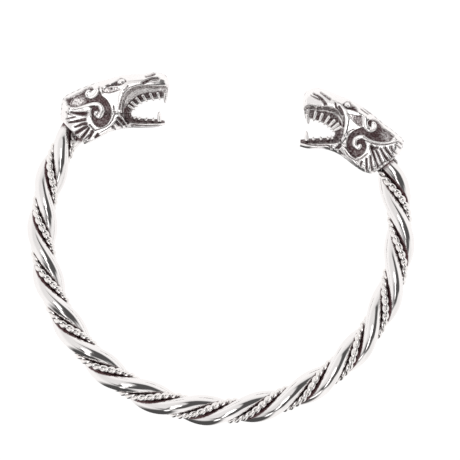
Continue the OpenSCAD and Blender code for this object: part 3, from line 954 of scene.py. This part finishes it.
RIGHT_MARKS = (
    # The ear and the disc round the big scroll
    Mark(Form.FIELD, ((-7.5, 55), (-4.5, 61), (0.5, 68), (4, 75.4), (7.4, 83.4), (10.4, 88),
        (13.4, 89.6), (16.4, 88), (18.6, 84), (18.8, 78.4), (17.2, 73.6), (15.4, 74), (15.4, 80),
        (14.4, 83.7), (12.4, 84.2), (10.4, 80.2), (9.8, 74.2), (10.9, 67.2), (14.4, 62.7), (18.4, 63.2),
        (21.6, 68), (23.5, 73), (25.5, 71.6), (29.5, 69), (34, 64), (37.5, 57), (39.5, 49), (40.3, 40),
        (40, 30), (37.5, 21), (34, 14.4), (30.5, 12.4), (26.5, 14), (23, 20), (20.7, 28), (20.2, 36),
        (21.5, 44), (17.5, 44), (11.5, 42), (3.5, 40.4), (-2.5, 43), (-5.5, 49)), deep=0.42, dark=0.95),
    # The leaf under the eye and the eye's socket
    Mark(Form.FIELD, ((39.7, 99), (35, 98), (30, 96), (24.7, 95.4), (24.3, 86), (24.5, 74),
        (28.9, 75.6), (32.4, 82), (35.4, 89)), deep=0.18, dark=0.75),
    Mark(Form.FIELD, ((44, 118.4), (41.5, 122), (38.5, 124.6), (36, 124.4), (34.3, 119), (31.6, 115),
        (29.4, 110.5), (28.4, 103.6), (32.2, 104.2), (36, 106.4), (40.3, 108.8), (42.4, 113)),
        deep=0.3, dark=0.85),
    # The big scroll and its tail
    Mark(Form.BAND, ((26.7, 35.4), (28.5, 31.4), (31.7, 35), (32.3, 42), (31, 48.4), (27.7, 52),
        (24, 52.4), (20.5, 48.4), (16.5, 44.6), (10.5, 42), (3.5, 40.6), (-3.5, 42.6), (-10.5, 48.8)),
        (0.86, 0.42), 0.16, 0.0),
    # The small curl at the ear's root, the middle of the ear, lightened by wear and a painted
    # sheen, a painted sheen on the leaf's left side, and the eye
    Mark(Form.BAND, ((13.4, 80.6), (12.2, 79.6), (11.2, 74.6), (12.1, 68.6), (14.9, 65.4), (17.8, 66),
        (20.2, 71.4), (21.2, 79.2), (21.4, 87.2), (20.6, 95)), (0.6, 0.86), 0.14, 0.0),
    Mark(Form.SHEEN, ((0.5, 54),), (3.4, 2.0), dark=0.62, turn=60.0),
    Mark(Form.SHEEN, ((37, 93),), (2.6, 1.8), dark=0.5),
    Mark(Form.BUMP, ((39.4, 117.8),), (1.35, 1.02), 0.12, 0.0, 22.0),
    groove(((15.5, 40.6), (8.5, 37.6), (1.5, 37.6), (-5.5, 40.4), (-11.5, 45)), 0.24, 0.18, 0.8),
    groove(((32.5, 69), (36, 66), (38.2, 62), (39.7, 57)), 0.2, 0.2, 0.8),
    groove(((41.5, 25), (38.5, 16), (34.5, 10), (30.5, 7.4), (25.5, 10), (22.5, 14), (19, 20)),
        0.2, 0.22, 0.75),
    groove(((18.9, 69.2), (15.9, 66.7), (12.9, 68.7)), 0.16, 0.16, 0.7),
    groove(((25.5, 109), (18.5, 98.6)), 0.26, 0.28, 0.85),
    groove(((22.2, 110), (16.6, 101)), 0.26, 0.3, 0.85),
    # Nose
    groove(((56.5, 128), (60.5, 134), (65.5, 141.6)), 0.56, 0.4, 0.8),
    groove(((61, 118), (63.5, 125), (67.5, 133), (73, 140)), 0.62, 0.4, 0.9),
    groove(((67, 127), (71.5, 131), (75.5, 136)), 0.34, 0.26, 0.7),
    # The eye's rim
    groove(((43.5, 116), (42, 120.5), (40.5, 123), (37.5, 123.4), (36, 118)), 0.2, 0.2, 0.85),
    groove(((43.5, 117), (40.5, 111), (36.5, 110), (32.5, 111), (29.5, 105)), 0.36, 0.5, 0.9),
    # Behind the lip
    groove(((51.2, 120), (50, 111), (47, 105), (44.5, 96)), 0.36, 0.4, 0.95),
    groove(((47.5, 113), (44.8, 105), (43.3, 96), (43.1, 86), (43.5, 74)), 0.46, 0.44, 0.95),
    groove(((44.5, 68), (45, 58), (46, 48), (45.5, 40), (46, 34)), 0.3, 0.28, 0.85),
    # The jaw's hinge and the lower lip
    groove(((50, 30), (48, 33), (47, 37)), 0.7, 0.6),
    groove(((47.5, 24), (45, 19), (42.5, 16)), 0.6, 0.4, 0.9),
    groove(((55, 36), (54.8, 28)), 0.26, 0.26, 0.8),
    groove(((84.5, 42), (76.5, 38), (66.5, 36.2), (59.5, 36.4), (55.5, 32)), 0.34, 0.26, 0.85),
    # The mane
    hair(((-11.5, 44), (-15.5, 38)), 0.2, 0.24),
    hair(((-9.5, 37), (-14, 30)), 0.3, 0.24),
    hair(((-4.5, 33), (-5.5, 27), (-10, 19)), 0.54, 0.2),
    hair(((1.5, 31), (-0.5, 25), (-3, 19), (-5.8, 12)), 0.48, 0.4),
    hair(((6, 29), (3.5, 20), (1, 12), (-2, 5.4)), 0.36, 0.56),
    hair(((10.5, 26), (8, 16), (6, 6), (4, -2)), 0.48, 0.38),
    hair(((15, 30), (13, 18), (10.5, 4), (8, -9)), 0.56, 0.38),
    hair(((16, 14), (15.5, 2), (14.2, -14)), 0.44, 0.38),
    hair(((20.2, 9), (20, -2), (19.7, -16)), 0.42, 0.4),
    hair(((25, 3), (25.7, -6)), 0.38, 0.3),
    hair(((15.5, 34), (12.5, 30), (9.5, 31)), 0.56, 0.5),
    groove(((12.5, -12), (2, 2), (-8, 14)), 0.2, 0.2, 0.8),
    Mark(Form.BAND, ((12, -18), (0.5, -2), (-11, 13)), (0.36, 0.36), 0.1, 0.0),
)


@dataclass(frozen=True)
class Teeth:
    """Places of the teeth in sections, and their sizes."""

    # Upper teeth, in sections from the nose.
    upper: tuple[float, ...] = (1.7, 2.45, 3.2, 3.9, 4.6, 5.36)
    lower: tuple[float, ...] = (1.4, 2.0, 2.7, 3.4)  # Lower teeth, in sections from the lower jaw's tip
    upper_fang: float = 0.84  # The upper fang's place
    lower_fang: float = 0.8  # The lower fang's place
    thick: float = 0.72  # Thickness of an upper tooth
    lower_thick: float = 0.85  # Thickness of a lower tooth, as a share of an upper one's
    fang: float = 0.8  # Thickness of a fang
    root: float = 1.8  # Length of an upper tooth behind the mouth's edge
    lower_root: float = 0.45  # The same of a lower tooth
    fang_roots: Pair = (1.0, 0.5)  # The same of the upper and the lower fang
    lean: float = 0.3  # Sections by which an upper tooth's root lies behind its tip
    reach: float = 0.3  # Reach past the mouth's edge
    upper_reach: float = 1.0  # Reach of the upper fang
    lower_reach: float = 1.5  # Reach of the lower fang
    # Distances of root and tip from the middle plane, as shares of the cheek's.
    off: Pair = (0.54, 0.36)
    blunt: float = 2.4  # Power in the formula of a tooth's radius; the higher, the blunter
    tip: float = 0.004  # Least square of that radius, as a share
    grid: tuple[int, int] = (11, 12)  # Rings of a tooth and points round each

    def rows(self, last: float) -> Array:
        """All teeth of one cheek.

        Args:
            last: Place of the lower jaw's tip, in sections from the nose.

        Returns:
            A row for each tooth: section of the tip, sections from it to the root, length
            behind the mouth's edge, reach past it, and thickness.
        """
        thin = self.lower_thick * self.thick
        over, under = self.fang_roots
        return np.array([
            *((s, self.lean, self.root, self.reach, self.thick) for s in self.upper),
            (self.upper_fang, 0.0, over, self.upper_reach, self.fang),
            *((last - s, 0.0, self.lower_root, self.reach, thin) for s in self.lower),
            (last - self.lower_fang, 0.0, under, self.lower_reach, self.fang),
        ])


@dataclass(frozen=True)
class Stretch:
    """A stretch of the head, in sections: it starts smoothly behind the nose and ends smoothly
    before the lower jaw's tip."""

    start: float  # Where it starts
    start_over: float  # Sections over which it does
    end: float  # Where it ends, counted back from the tip
    end_over: float  # Sections over which it does

    def share(self, s: Array, last: float) -> Array:
        """1 in the stretch and 0 outside; last is the place of the tip."""
        return rise(s, self.start, self.start_over) * rise(last - s, self.end, self.end_over)


@dataclass(frozen=True)
class CrownCuts:
    """Cuts over the crown and under the jaw. Places across the head are distances from the
    middle plane, as shares of half the width. A pair is a place and a width."""

    line: Pair = (0.2, 0.05)  # The line on either side of the middle, across the head
    lined: Stretch = Stretch(1.2, 0.8, 0.6, 0.8)  # The stretch of the lines
    sweep_back: float = 0.6  # Share of the sections at which the strokes turn to sweep the other way
    rate: float = 2.3  # Strokes of the mane to a section
    trail: float = 1.6  # Strokes by which one trails behind over half the width
    crest: Pair = (0.05, 0.7)  # Height of the wave from which it cuts
    mane: Stretch = Stretch(5.4, 0.6, 2.4, 0.6)  # The stretch of the strokes
    inner: Pair = (0.27, 0.06)  # Where a stroke starts across the head
    outer: Pair = (0.56, 0.1)  # Where it ends
    pit: Pair = (0.8, 0.2)  # A nostril, in sections along the head
    pit_off: Pair = (0.4, 0.12)  # The same across it
    bare: Stretch = Stretch(9.3, 0.5, 4.9, 0.5)  # The stretch of the collar, which has no cuts
    deep: Triple = (0.16, 0.16, 0.3)  # Depths of the lines, the strokes and the nostrils
    dark: Triple = (0.75, 0.9, 0.9)  # Tarnish in them

    def relief(self, s: Array, off: Array, last: float) -> tuple[Array, Array]:
        """Depth and tarnish of the cuts. A stroke lies where the cosine of the place along the
        head, less the distance from the middle, is high.

        Args:
            s: Place of each section, in a column.
            off: Distance of each point from the middle plane.
            last: Place of the lower jaw's tip.

        Returns:
            The depth in millimetres and the tarnish, from 0 to 1.
        """
        line = bell(off, *self.line) * self.lined.share(s, last)
        back = np.where(s < last * self.sweep_back, s, -s)
        wave = np.cos(2.0 * math.pi * (self.rate * back - self.trail * off))
        across = rise(off, *self.inner) * fall(off, *self.outer)
        stroke = rise(wave, *self.crest) * across * self.mane.share(s, last)
        pit = bell(s, *self.pit) * bell(off, *self.pit_off)
        cut = 1.0 - self.bare.share(s, last)
        parts = np.stack([line, stroke, pit], -1)
        return (parts * self.deep).max(-1) * cut, (parts * self.dark).max(-1) * cut


@dataclass(frozen=True)
class Mouth:
    """Tarnish inside the lip. Places along the head are in sections, and places on the way
    from the mouth's edge to the lip's crest are shares of it. A pair is a place and a width."""

    places: tuple[float, ...]  # Places along the head where the gum's darkness is given
    gum: tuple[float, ...]  # The darkness at them
    gap: float  # The darkness between the teeth
    gap_start: float  # Distance from the mouth's edge at which it starts, in millimetres
    line: float  # The darkness of the line under the lip
    line_end: float  # Place along the head where that line ends
    rim: float  # Place on the way to the lip where the upper gum ends
    jaw_rim: float = 0.84  # The same of the lower gum
    corner: Pair = (8.0, 11.0)  # Places along the head between which one goes over into the other
    # Widths over which the dark of the gaps starts and ends, in millimetres.
    gap_over: Pair = (0.25, 0.4)
    gap_nose: Pair = (0.7, 0.9)  # Its start behind the nose
    seam: Pair = (0.9, 0.06)  # The line on the way to the lip
    gum_over: Pair = (0.12, 0.14)  # Widths over which a gum's dark starts and ends on that way
    wall: float = 0.3  # Tarnish of the wall between the cheeks, as a share of the gum's

    def gum_at(self, s: Array) -> Array:
        """Darkness of the gum at places along the head."""
        return np.interp(s, self.places, self.gum)

    def tarnish(self, s: Array, to_lip: Array, behind: Array, root: float) -> Array:
        """Darkness of the gums, between the teeth and in the line under the lip.

        Args:
            s: Place of each section, in a column.
            to_lip: Place of each point on the way to the lip.
            behind: Distance of each from the mouth's edge.
            root: Length of the teeth behind that edge.

        Returns:
            The darkness of each point.
        """
        gap = rise(behind, self.gap_start, self.gap_over[0]) * rise(s, *self.gap_nose)
        gap *= 1.0 - rise(behind, root, self.gap_over[1])
        rim = np.interp(s, self.corner, (self.rim, self.jaw_rim))
        inner = (1.0 - rise(to_lip, rim, self.gum_over[1])) * rise(to_lip, 0.0, self.gum_over[0])
        seam = bell(to_lip, *self.seam) * fall(s, self.line_end, 1.0)
        return np.maximum(np.maximum(self.gum_at(s), self.gap * gap) * inner, self.line * seam)


@dataclass(frozen=True)
class Collar:
    """The open end that takes the cable."""

    slant: float  # Direction across it, in degrees
    radius: float = 3.32  # Outer radius
    square: float = 0.3  # How square the sections of the collar stay at least
    socket_r: float = 2.67  # Radius of the socket
    socket_l: float = 2.4  # Depth of the socket that is shown
    edge: float = 0.2  # Width of its rounded edge
    near: float = 0.6  # Distance from the open end within which the wall is pushed in
    dark: float = 0.9  # Painted shade at the socket's bottom, where its shadow falls

    def sections(self) -> tuple[Array, Array, Array]:
        """Sections over the open end.

        Returns:
            In a row each, the share of the way from the jaw to the crown, the outline's place,
            and how square the section ends, which is the height of a circle there.
        """
        k = np.array(COLLAR_SHARES)[:, None]
        square = np.maximum(self.square, np.sqrt(np.maximum(0.0, 1.0 - k * k)))
        return (1.0 + k) / 2.0, self.radius * k * turned_by(self.slant)[0], square

    def pushed_in(self, wall: Array) -> tuple[Array, Array]:
        """Pushes a wall in where it crosses the open end within the socket.

        Args:
            wall: Places of the wall, which is changed.

        Returns:
            The wall, and how far in each place is, as a share of the socket's depth.
        """
        across, back = turned_by(self.slant)
        radial = np.hypot(wall[..., :2] @ across, wall[..., 2])
        here = (np.abs(wall[..., :2] @ back) < self.near) & (radial < self.radius + self.edge)
        hollow = np.where(here, fall(radial, self.socket_r, self.edge), 0.0)
        wall[..., :2] -= self.socket_l * hollow[..., None] * back
        return wall, hollow


@dataclass(frozen=True)
class Head:
    """A cast beast head with its collar, in its own frame: the origin is the middle of the
    socket's mouth, x runs towards the nose and y towards the crown."""

    name: str
    node: str  # The CAD node that it stands for
    deg: float  # Angle along the ring of its socket
    side: int  # 1 for the left head, -1 for the right one, which is built the other way round
    crown: tuple[tuple[float, ...], ...]  # Sections from the nose over the crown to the collar
    jaw: tuple[tuple[float, ...], ...]  # Sections from the mane to the lower jaw's tip
    marks: tuple[Mark, ...]  # The relief on the cheeks
    scroll: Pair  # Middle of the big scroll, on which the ring rests, in shares of the sizes
    collar: Collar
    mouth: Mouth
    teeth: Teeth = Teeth()
    cuts: CrownCuts = CrownCuts()
    long: float = 19.0  # Length of the head
    high: float = 9.5  # Height of the open jaws
    wide: float = 8.4  # Width from cheek to cheek
    edge_share: float = 0.52  # Share of the cheek that the rounding to the outline takes
    edge_max: float = 1.7  # Greatest width of that rounding
    edge_points: float = 0.55  # Density of points over it, as a share of the usual one
    lip_max: float = 0.55  # Greatest share of a section that the lip's ledge takes
    # Height of the bead along the lip, and its place and width as shares of the way to the
    # lip's crest. The cuts over the crown start behind it.
    bead: Triple = (0.12, 1.3, 0.22)
    thin: float = 0.02  # Least distance of the cheek from the middle plane
    ridge_h: float = 0.3  # Height of the ridges of the scrolls, on which the ring rests
    # Weights of the mouth's edge and the outline in the spacing of the sections.
    even: Pair = (0.35, 0.65)
    rings: int = 392  # Sections of the mesh
    fine: int = 900  # Fine steps in which the spacing is worked out
    profile: int = 60  # Fine steps of the ledge and of the edge; the cheek between has twice as many
    across: int = 96  # Points of a section over one cheek
    wall: int = 30  # Points of a section over the crown or under the jaw
    mouth_wall: int = 6  # Points of a section inside the mouth

    def scale(self) -> Array:
        """Length and height of the head, which the sections are shares of."""
        return np.array([self.long, self.high])

    def face(self, x: Array) -> Array:
        """Half the head's width at a distance from the socket, between the rows of the table."""
        return self.wide / 2.0 * np.interp(x / self.long, FACE_PLACES, FACE_SHARES)

    def last_section(self) -> float:
        """Place of the lower jaw's tip, counted in sections from the nose."""
        return float(len(self.crown) + len(COLLAR_SHARES) + len(self.jaw) - 1)

    def rows(self) -> Array:
        """All sections from the nose round to the lower jaw's tip, with those of the collar
        spread over its open end between them.

        Returns:
            A row for each section, with the columns of the tables.
        """
        share, out, square = self.collar.sections()
        crown, jaw = np.array(self.crown), np.array(self.jaw)
        mouth = jaw[0, :2] * (1 - share) + crown[-1, :2] * share
        lip = jaw[0, 5] * (1 - share) + crown[-1, 5] * share
        width = self.collar.radius / self.face(out[:, :1])
        collar = np.concatenate([mouth, out / self.scale(), width, lip, square], axis=1)
        return np.concatenate([crown, collar, jaw])

    def half(self) -> tuple[Array, Array, Array, Array]:
        """Upper half of the head before its relief is cut.

        Each section starts at the mouth's edge, climbs over the lip's ledge, runs over the
        cheek and falls in a quarter of an oval to the outline.

        Returns:
            Places of the grid, the place of each section, the share of the way to the lip of
            each point, and the length of that way in each section.
        """
        fine = np.linspace(0.0, self.last_section(), self.fine)
        rows = along(self.rows(), fine)
        lines = (rows[:, :2] * self.scale(), rows[:, 2:4] * self.scale())
        step = sum(w * np.linalg.norm(np.diff(p, axis=0), axis=1) for p, w in zip(lines, self.even))
        s = spread(fine[None], step[None], self.rings)[0]
        row = along(self.rows(), s)
        mouth, out = row[:, None, :2] * self.scale(), row[:, None, 2:4] * self.scale()
        whole = np.linalg.norm(out - mouth, axis=-1)
        lip = np.minimum(row[:, 5:6] * self.high, whole * self.lip_max)
        edge = np.minimum(self.edge_max, self.edge_share * (whole - lip))
        crest = LEDGE_PLACES[-1]
        ledge = np.linspace(0.0, crest, self.profile)[None] * lip
        cheek = np.linspace(0.0, 1.0, 2 * self.profile + 1)[None, 1:]
        quarter = np.linspace(0.0, math.pi / 2.0, self.profile)[None, 1:]
        start, end = crest * lip, whole - edge
        middle = start + cheek * (end - start)
        far = np.concatenate([ledge, middle, end + edge * np.sin(quarter)], axis=1)
        square = row[:, 6:7]
        climb = np.interp(ledge / lip, LEDGE_PLACES, LEDGE_SHARES)
        drop = square + (1.0 - square) * np.cos(quarter)
        low = np.concatenate([climb, np.ones_like(middle), drop], axis=1)
        place = mouth + (out - mouth) * (far / whole)[..., None]
        high = low * row[:, 4:5] * self.face(place[..., 0])
        step = np.sqrt(np.diff(far, axis=1) ** 2 + np.diff(high, axis=1) ** 2)
        step[:, 3 * self.profile :] *= self.edge_points
        columns = (place[..., 0], place[..., 1], high, far / lip)
        even = [spread(v, step, self.across) for v in columns]
        return np.stack(even[:3], -1), s, even[3], lip

    def relief(self, x: Array, y: Array) -> tuple[Array, Array]:
        """Height and darkness of the marks over a cheek, each shaped after the one before.

        Args:
            x: Places towards the nose.
            y: Places towards the crown.

        Returns:
            The height above the cheek and the tarnish, from 0 to 1.
        """
        height, dark = np.zeros_like(x), np.zeros_like(x)
        for mark in self.marks:
            line = np.array(mark.line) * (self.scale() / 100.0)
            margin = max(mark.wide) + MARGIN
            near = (x > line[:, 0].min() - margin) & (x < line[:, 0].max() + margin)
            near &= (y > line[:, 1].min() - margin) & (y < line[:, 1].max() + margin)
            spot = np.stack([x[near], y[near]], -1)
            height[near], dark[near] = mark.shaped(line, spot, height[near], dark[near])
        return height, dark

    def cheek(self) -> tuple[Array, Array, Array]:
        """The near cheek with its relief, which moves each point along its normal.

        Returns:
            Places of the grid, the tarnish of each, and the place of each section.
        """
        half, s, to_lip, lip = self.half()
        width = along(self.rows(), s)[:, 4:5] * self.face(half[..., 0])
        s = s[:, None]
        height, dark = self.relief(half[..., 0], half[..., 1])
        inside = self.mouth.tarnish(s, to_lip, to_lip * lip, self.teeth.root)
        dark = np.maximum(dark, inside)
        high, *crest = self.bead
        height += high * bell(to_lip, *crest)
        cut, cut_dark = self.cuts.relief(s, half[..., 2] / width, self.last_section())
        behind = to_lip > crest[0]
        height -= np.where(behind, cut, 0.0)
        dark = np.where(behind, np.maximum(dark, cut_dark), dark)
        normal = unit(np.cross(np.gradient(half, axis=0), np.gradient(half, axis=1)))
        normal *= np.sign(normal[:, self.across // 2, 2]).mean()
        half = half + normal * height[..., None]
        half[..., 2] = np.maximum(half[..., 2], self.thin)
        return half, dark, s

    def pegs(self) -> Surface:
        """Teeth of both cheeks: round pegs from behind the lip past the mouth's edge.

        A peg's radius is half its thickness times the square root of one less a power of
        the share of its length, so that it ends in a blunt point.

        Returns:
            The pegs as one surface.
        """
        kit = self.teeth
        place, lean, root, reach, thick = kit.rows(self.last_section()).T
        ends = []
        for at, way, off in zip((place + lean, place), (-root, reach), kit.off):
            row = along(self.rows(), at)
            mouth, out = row[:, :2] * self.scale(), row[:, 2:4] * self.scale()
            high = off * row[:, 4:5] * self.face(mouth[:, :1])
            ends.append(np.concatenate([mouth + unit(mouth - out) * way[:, None], high], 1))
        t = np.linspace(0.0, 1.0, kit.grid[0])
        pegs = []
        for side in (1.0, -1.0):
            for base, tip, r in zip(*ends, thick / 2.0):
                line = base + (tip - base) * t[:, None]
                line[:, 2] *= side
                way = np.broadcast_to(unit(line[-1] - line[0]), line.shape)
                radius = r * np.sqrt(np.maximum(1.0 - t**kit.blunt, kit.tip))
                rings = ring_about(line, way, np.broadcast_to(UP, line.shape), radius, kit.grid[1])
                pegs.append(closed_loft(rings, np.zeros(kit.grid)))
        return reduce(Surface.joined, pegs)

    def surface(self) -> Surface:
        """The whole head: the near cheek, the wall over the outline, the far cheek, which
        mirrors the near one, the wall of the mouth, and the teeth.

        Returns:
            The surface in the head's own frame, its faces outwards.
        """
        half, dark, s = self.cheek()
        wall, hollow = self.collar.pushed_in(bridge(half[:, -1:], 1.0, self.wall))
        mirror = half[:, ::-1] * np.array([1.0, 1.0, -1.0])
        mouth = bridge(half[:, :1], -1.0, self.mouth_wall)
        rings = np.concatenate([half, wall, mirror, mouth], axis=1)
        inside = np.repeat(self.mouth.wall * self.mouth.gum_at(s), self.mouth_wall, 1)
        # The pushed-in socket wall gets painted shade
        shade = np.concatenate([dark, self.collar.dark * hollow, dark[:, ::-1], inside], axis=1)
        return outward(closed_loft(rings, shade)).joined(self.pegs())

    def build(self, rest: Rest, ring_r: float, material: bpy.types.Material) -> None:
        """Sets the head on the end of the cable, on the left as it is and on the right turned
        about, and dresses it.

        Args:
            rest: The way that the ring lies.
            ring_r: Radius of the ring's centre line.
            material: The finish.
        """
        whole = self.surface()
        a = math.radians(self.deg)
        middle = np.array([ring_r * math.cos(a), ring_r * math.sin(a), 0.0])
        points = rest.place(whole.points * np.array([self.side, 1.0, 1.0]) + middle)
        whole = Surface(points, whole.quads, whole.fans, whole.tarnish)
        piece = make_piece(self.name, whole if self.side > 0 else whole.turned())
        settle(piece, self.node, material)


# The studio


@dataclass(frozen=True)
class Blot:
    """A soft oval in the studio's surroundings, placed by the tilt of a mirror that shows it to
    the camera above."""

    x: float  # Tilt towards X, as a sine
    y: float  # Tilt towards Y, as a sine
    wide: float  # Half its width
    high: float  # Half its height
    light: float  # Brightness inside it
    soft: float  # Share of its size over which it fades


@dataclass(frozen=True)
class Studio:
    """A white floor in a light tent, with dark and bright panels overhead, and the camera."""

    light: float = 1.05  # Brightness of the tent
    tint: Colour = colour(1.0, 0.978, 0.974)  # Its colour
    # Panels, the later ones over the earlier.
    blots: tuple[Blot, ...] = (
        Blot(0.0, 0.0, 0.62, 0.62, 0.84, 0.5),
        Blot(-0.28, -0.74, 0.43, 0.5, 0.08, 0.45),
        Blot(0.08, -0.06, 0.47, 0.43, 0.09, 0.2),
        Blot(0.45, -0.47, 0.27, 0.25, 0.95, 0.4),
        Blot(-0.13, 0.06, 0.33, 0.31, 0.86, 0.24),
        Blot(0.0, -0.09, 0.185, 0.17, 0.16, 0.3),
        Blot(-0.06, -0.24, 0.16, 0.18, 0.12, 0.3),
        Blot(-0.01, -0.06, 0.13, 0.12, 2.8, 0.3),
        Blot(-0.06, -0.25, 0.075, 0.13, 2.3, 0.5),
        Blot(-0.14, -0.45, 0.075, 0.1, 2.0, 0.5),
    )
    floor_r: float = 0.6  # Half the floor's size, in metres
    sheet: float = 0.25  # Brightness of the floor's own colour
    rough: float = 0.9  # Its roughness
    glow: float = 0.9  # Brightness that the floor adds of its own
    pixel: float = 0.00019  # Size of a pixel of the image on the ring, in metres
    pixels: int = 460  # Pixels across the image
    middle: Pair = (0.00171, 0.000456)  # Place of the image's middle, in metres
    away: float = 0.7  # Height of the camera, in metres
    level: float = 0.0045  # Height of the ring's middle, on which the pixel is measured, in metres
    clip: Pair = (0.05, 10.0)  # Nearest and farthest distance that the camera sees, in metres

    def world(self) -> None:
        """The surroundings: each direction is met halfway with straight up, and the sines of
        that mirror's tilt give the place among the blots."""
        world = bpy.data.worlds.new("light_tent")
        tree = Shader.of(world)
        way = tree.node("ShaderNodeTexCoord", {}, {}, "Generated")
        above = (0.0, 0.0, 1.0001)  # A little over 1, so that straight down has a length too
        up = tree.node("ShaderNodeVectorMath", {"operation": "ADD"}, {0: way, 1: above})
        tilt = tree.node("ShaderNodeVectorMath", {"operation": "NORMALIZE"}, {0: up})
        x, y = (tree.node("ShaderNodeSeparateXYZ", {}, {0: tilt}, axis) for axis in (0, 1))
        light: Any = x * 0.0 + self.light
        for blot in self.blots:
            p, q = (x - blot.x) / blot.wide, (y - blot.y) / blot.high
            share = 1.0 - (p * p + q * q).root().ramp(1.0 - blot.soft, 1.0)
            light = light + share * (blot.light - light)
        back = tree.node("ShaderNodeBackground", {}, {"Color": self.tint, "Strength": light})
        tree.finish("ShaderNodeOutputWorld", back)
        bpy.context.scene.world = world

    def floor(self) -> None:
        """A flat white floor that glows a little, as a lit sheet does. The silver mirrors the
        tent in place of it, as metal on a glass table does."""
        r = self.floor_r
        corners = [(-r, -r, 0.0), (r, -r, 0.0), (r, r, 0.0), (-r, r, 0.0)]
        mesh = bpy.data.meshes.new("floor")
        mesh.from_pydata(corners, [], [(0, 1, 2, 3)])
        sheet = bpy.data.objects.new("floor", mesh)
        bpy.context.scene.collection.objects.link(sheet)
        made = bpy.data.materials.new("white_sheet")
        tree = Shader.of(made)
        inputs = {
            "Base Color": colour(self.sheet, self.sheet, self.sheet), "Roughness": self.rough,
            "Specular IOR Level": 0.0,
            "Emission Color": colour(1.0, 1.0, 1.0), "Emission Strength": self.glow,
        }
        tree.finish("ShaderNodeOutputMaterial", tree.node("ShaderNodeBsdfPrincipled", {}, inputs))
        mesh.materials.append(made)
        sheet.visible_glossy = False

    def camera(self) -> None:
        """A long lens straight above, framed as the photograph is: the sensor is to the lens
        as the image's width on the ring is to the distance."""
        data = bpy.data.cameras.new("camera")
        width = self.pixels * self.pixel
        data.lens = data.sensor_width * (self.away - self.level) / width
        data.clip_start, data.clip_end = self.clip
        camera = bpy.data.objects.new("camera", data)
        camera.location = (*self.middle, self.away)
        bpy.context.scene.collection.objects.link(camera)
        bpy.context.scene.camera = camera

    def build(self) -> None:
        """Sets the stage."""
        self.world()
        self.floor()
        self.camera()
        bpy.context.scene.view_settings.view_transform = "Standard"


def resting(left: Head, right: Head, lay: Lay) -> Rest:
    """The plane on which both heads' scrolls and the back of the cable touch the floor.

    Args:
        left: The left head.
        right: The right head.
        lay: The way that the cable is laid.

    Returns:
        The lift and the slopes.
    """
    touch_r = left.wide / 2.0 + left.ridge_h
    spots = []
    for head in (left, right):
        a = math.radians(head.deg)
        x = lay.ring_r * math.cos(a) + head.side * head.scroll[0] * head.long
        spots.append((x, lay.ring_r * math.sin(a) + head.scroll[1] * head.high))
    (x0, y0), (x1, y1) = spots
    lean = (y0 - y1) / (x0 - x1)
    level = y0 - x0 * lean
    slope = (touch_r - lay.rest_r) / (level + lay.ring_r)
    return Rest(touch_r - level * slope, slope, lean)


def main() -> None:
    """Builds the studio, the cable and the two heads."""
    logging.basicConfig(level=logging.INFO, format="%(name)s: %(message)s")
    lay = Lay()
    left = Head(
        name="head_left_cast", node="head_left", deg=lay.left_deg, side=1,
        crown=LEFT_CROWN, jaw=LEFT_JAW, marks=LEFT_MARKS, scroll=(0.26, 0.39),
        collar=Collar(slant=135.0),
        mouth=Mouth(
            places=(0.0, 4.5, 5.5, 6.5, 16.0, 21.0), gum=(0.28, 0.26, 0.42, 0.8, 0.88, 0.82),
            gap=0.95, gap_start=0.25, line=0.6, line_end=99.0, rim=0.84,
        ),
        teeth=Teeth(root=1.3, lean=0.2, thick=0.62),
    )
    right = Head(
        name="head_right_cast", node="head_right", deg=lay.right_deg, side=-1,
        crown=RIGHT_CROWN, jaw=RIGHT_JAW, marks=RIGHT_MARKS, scroll=(0.287, 0.41),
        collar=Collar(slant=144.0),
        mouth=Mouth(
            places=(0.0, 1.3, 2.1, 9.0, 16.0, 21.0), gum=(0.06, 0.2, 0.86, 0.86, 0.85, 0.8),
            gap=0.9, gap_start=-0.3, line=0.85, line_end=4.2, rim=0.74,
        ),
    )
    rest = resting(left, right, lay)
    Studio().build()
    wire = SilverFinish("polished_silver", colour(0.91, 0.9, 0.893), colour(0.1, 0.042, 0.047))
    rope = SilverFinish("twisted_silver", colour(0.92, 0.905, 0.89), polish=0.06, waviness=0.0)
    cast = SilverFinish(
        "cast_silver", colour(0.975, 0.962, 0.955), colour(0.066, 0.031, 0.034),
        polish=0.18, waviness=0.00003, wave_scale=700.0,
    )
    Cable(lay, rest).build(wire, rope)
    material = cast.material()
    for head in (left, right):
        head.build(rest, lay.ring_r, material)


if __name__ == "__main__":
    main()
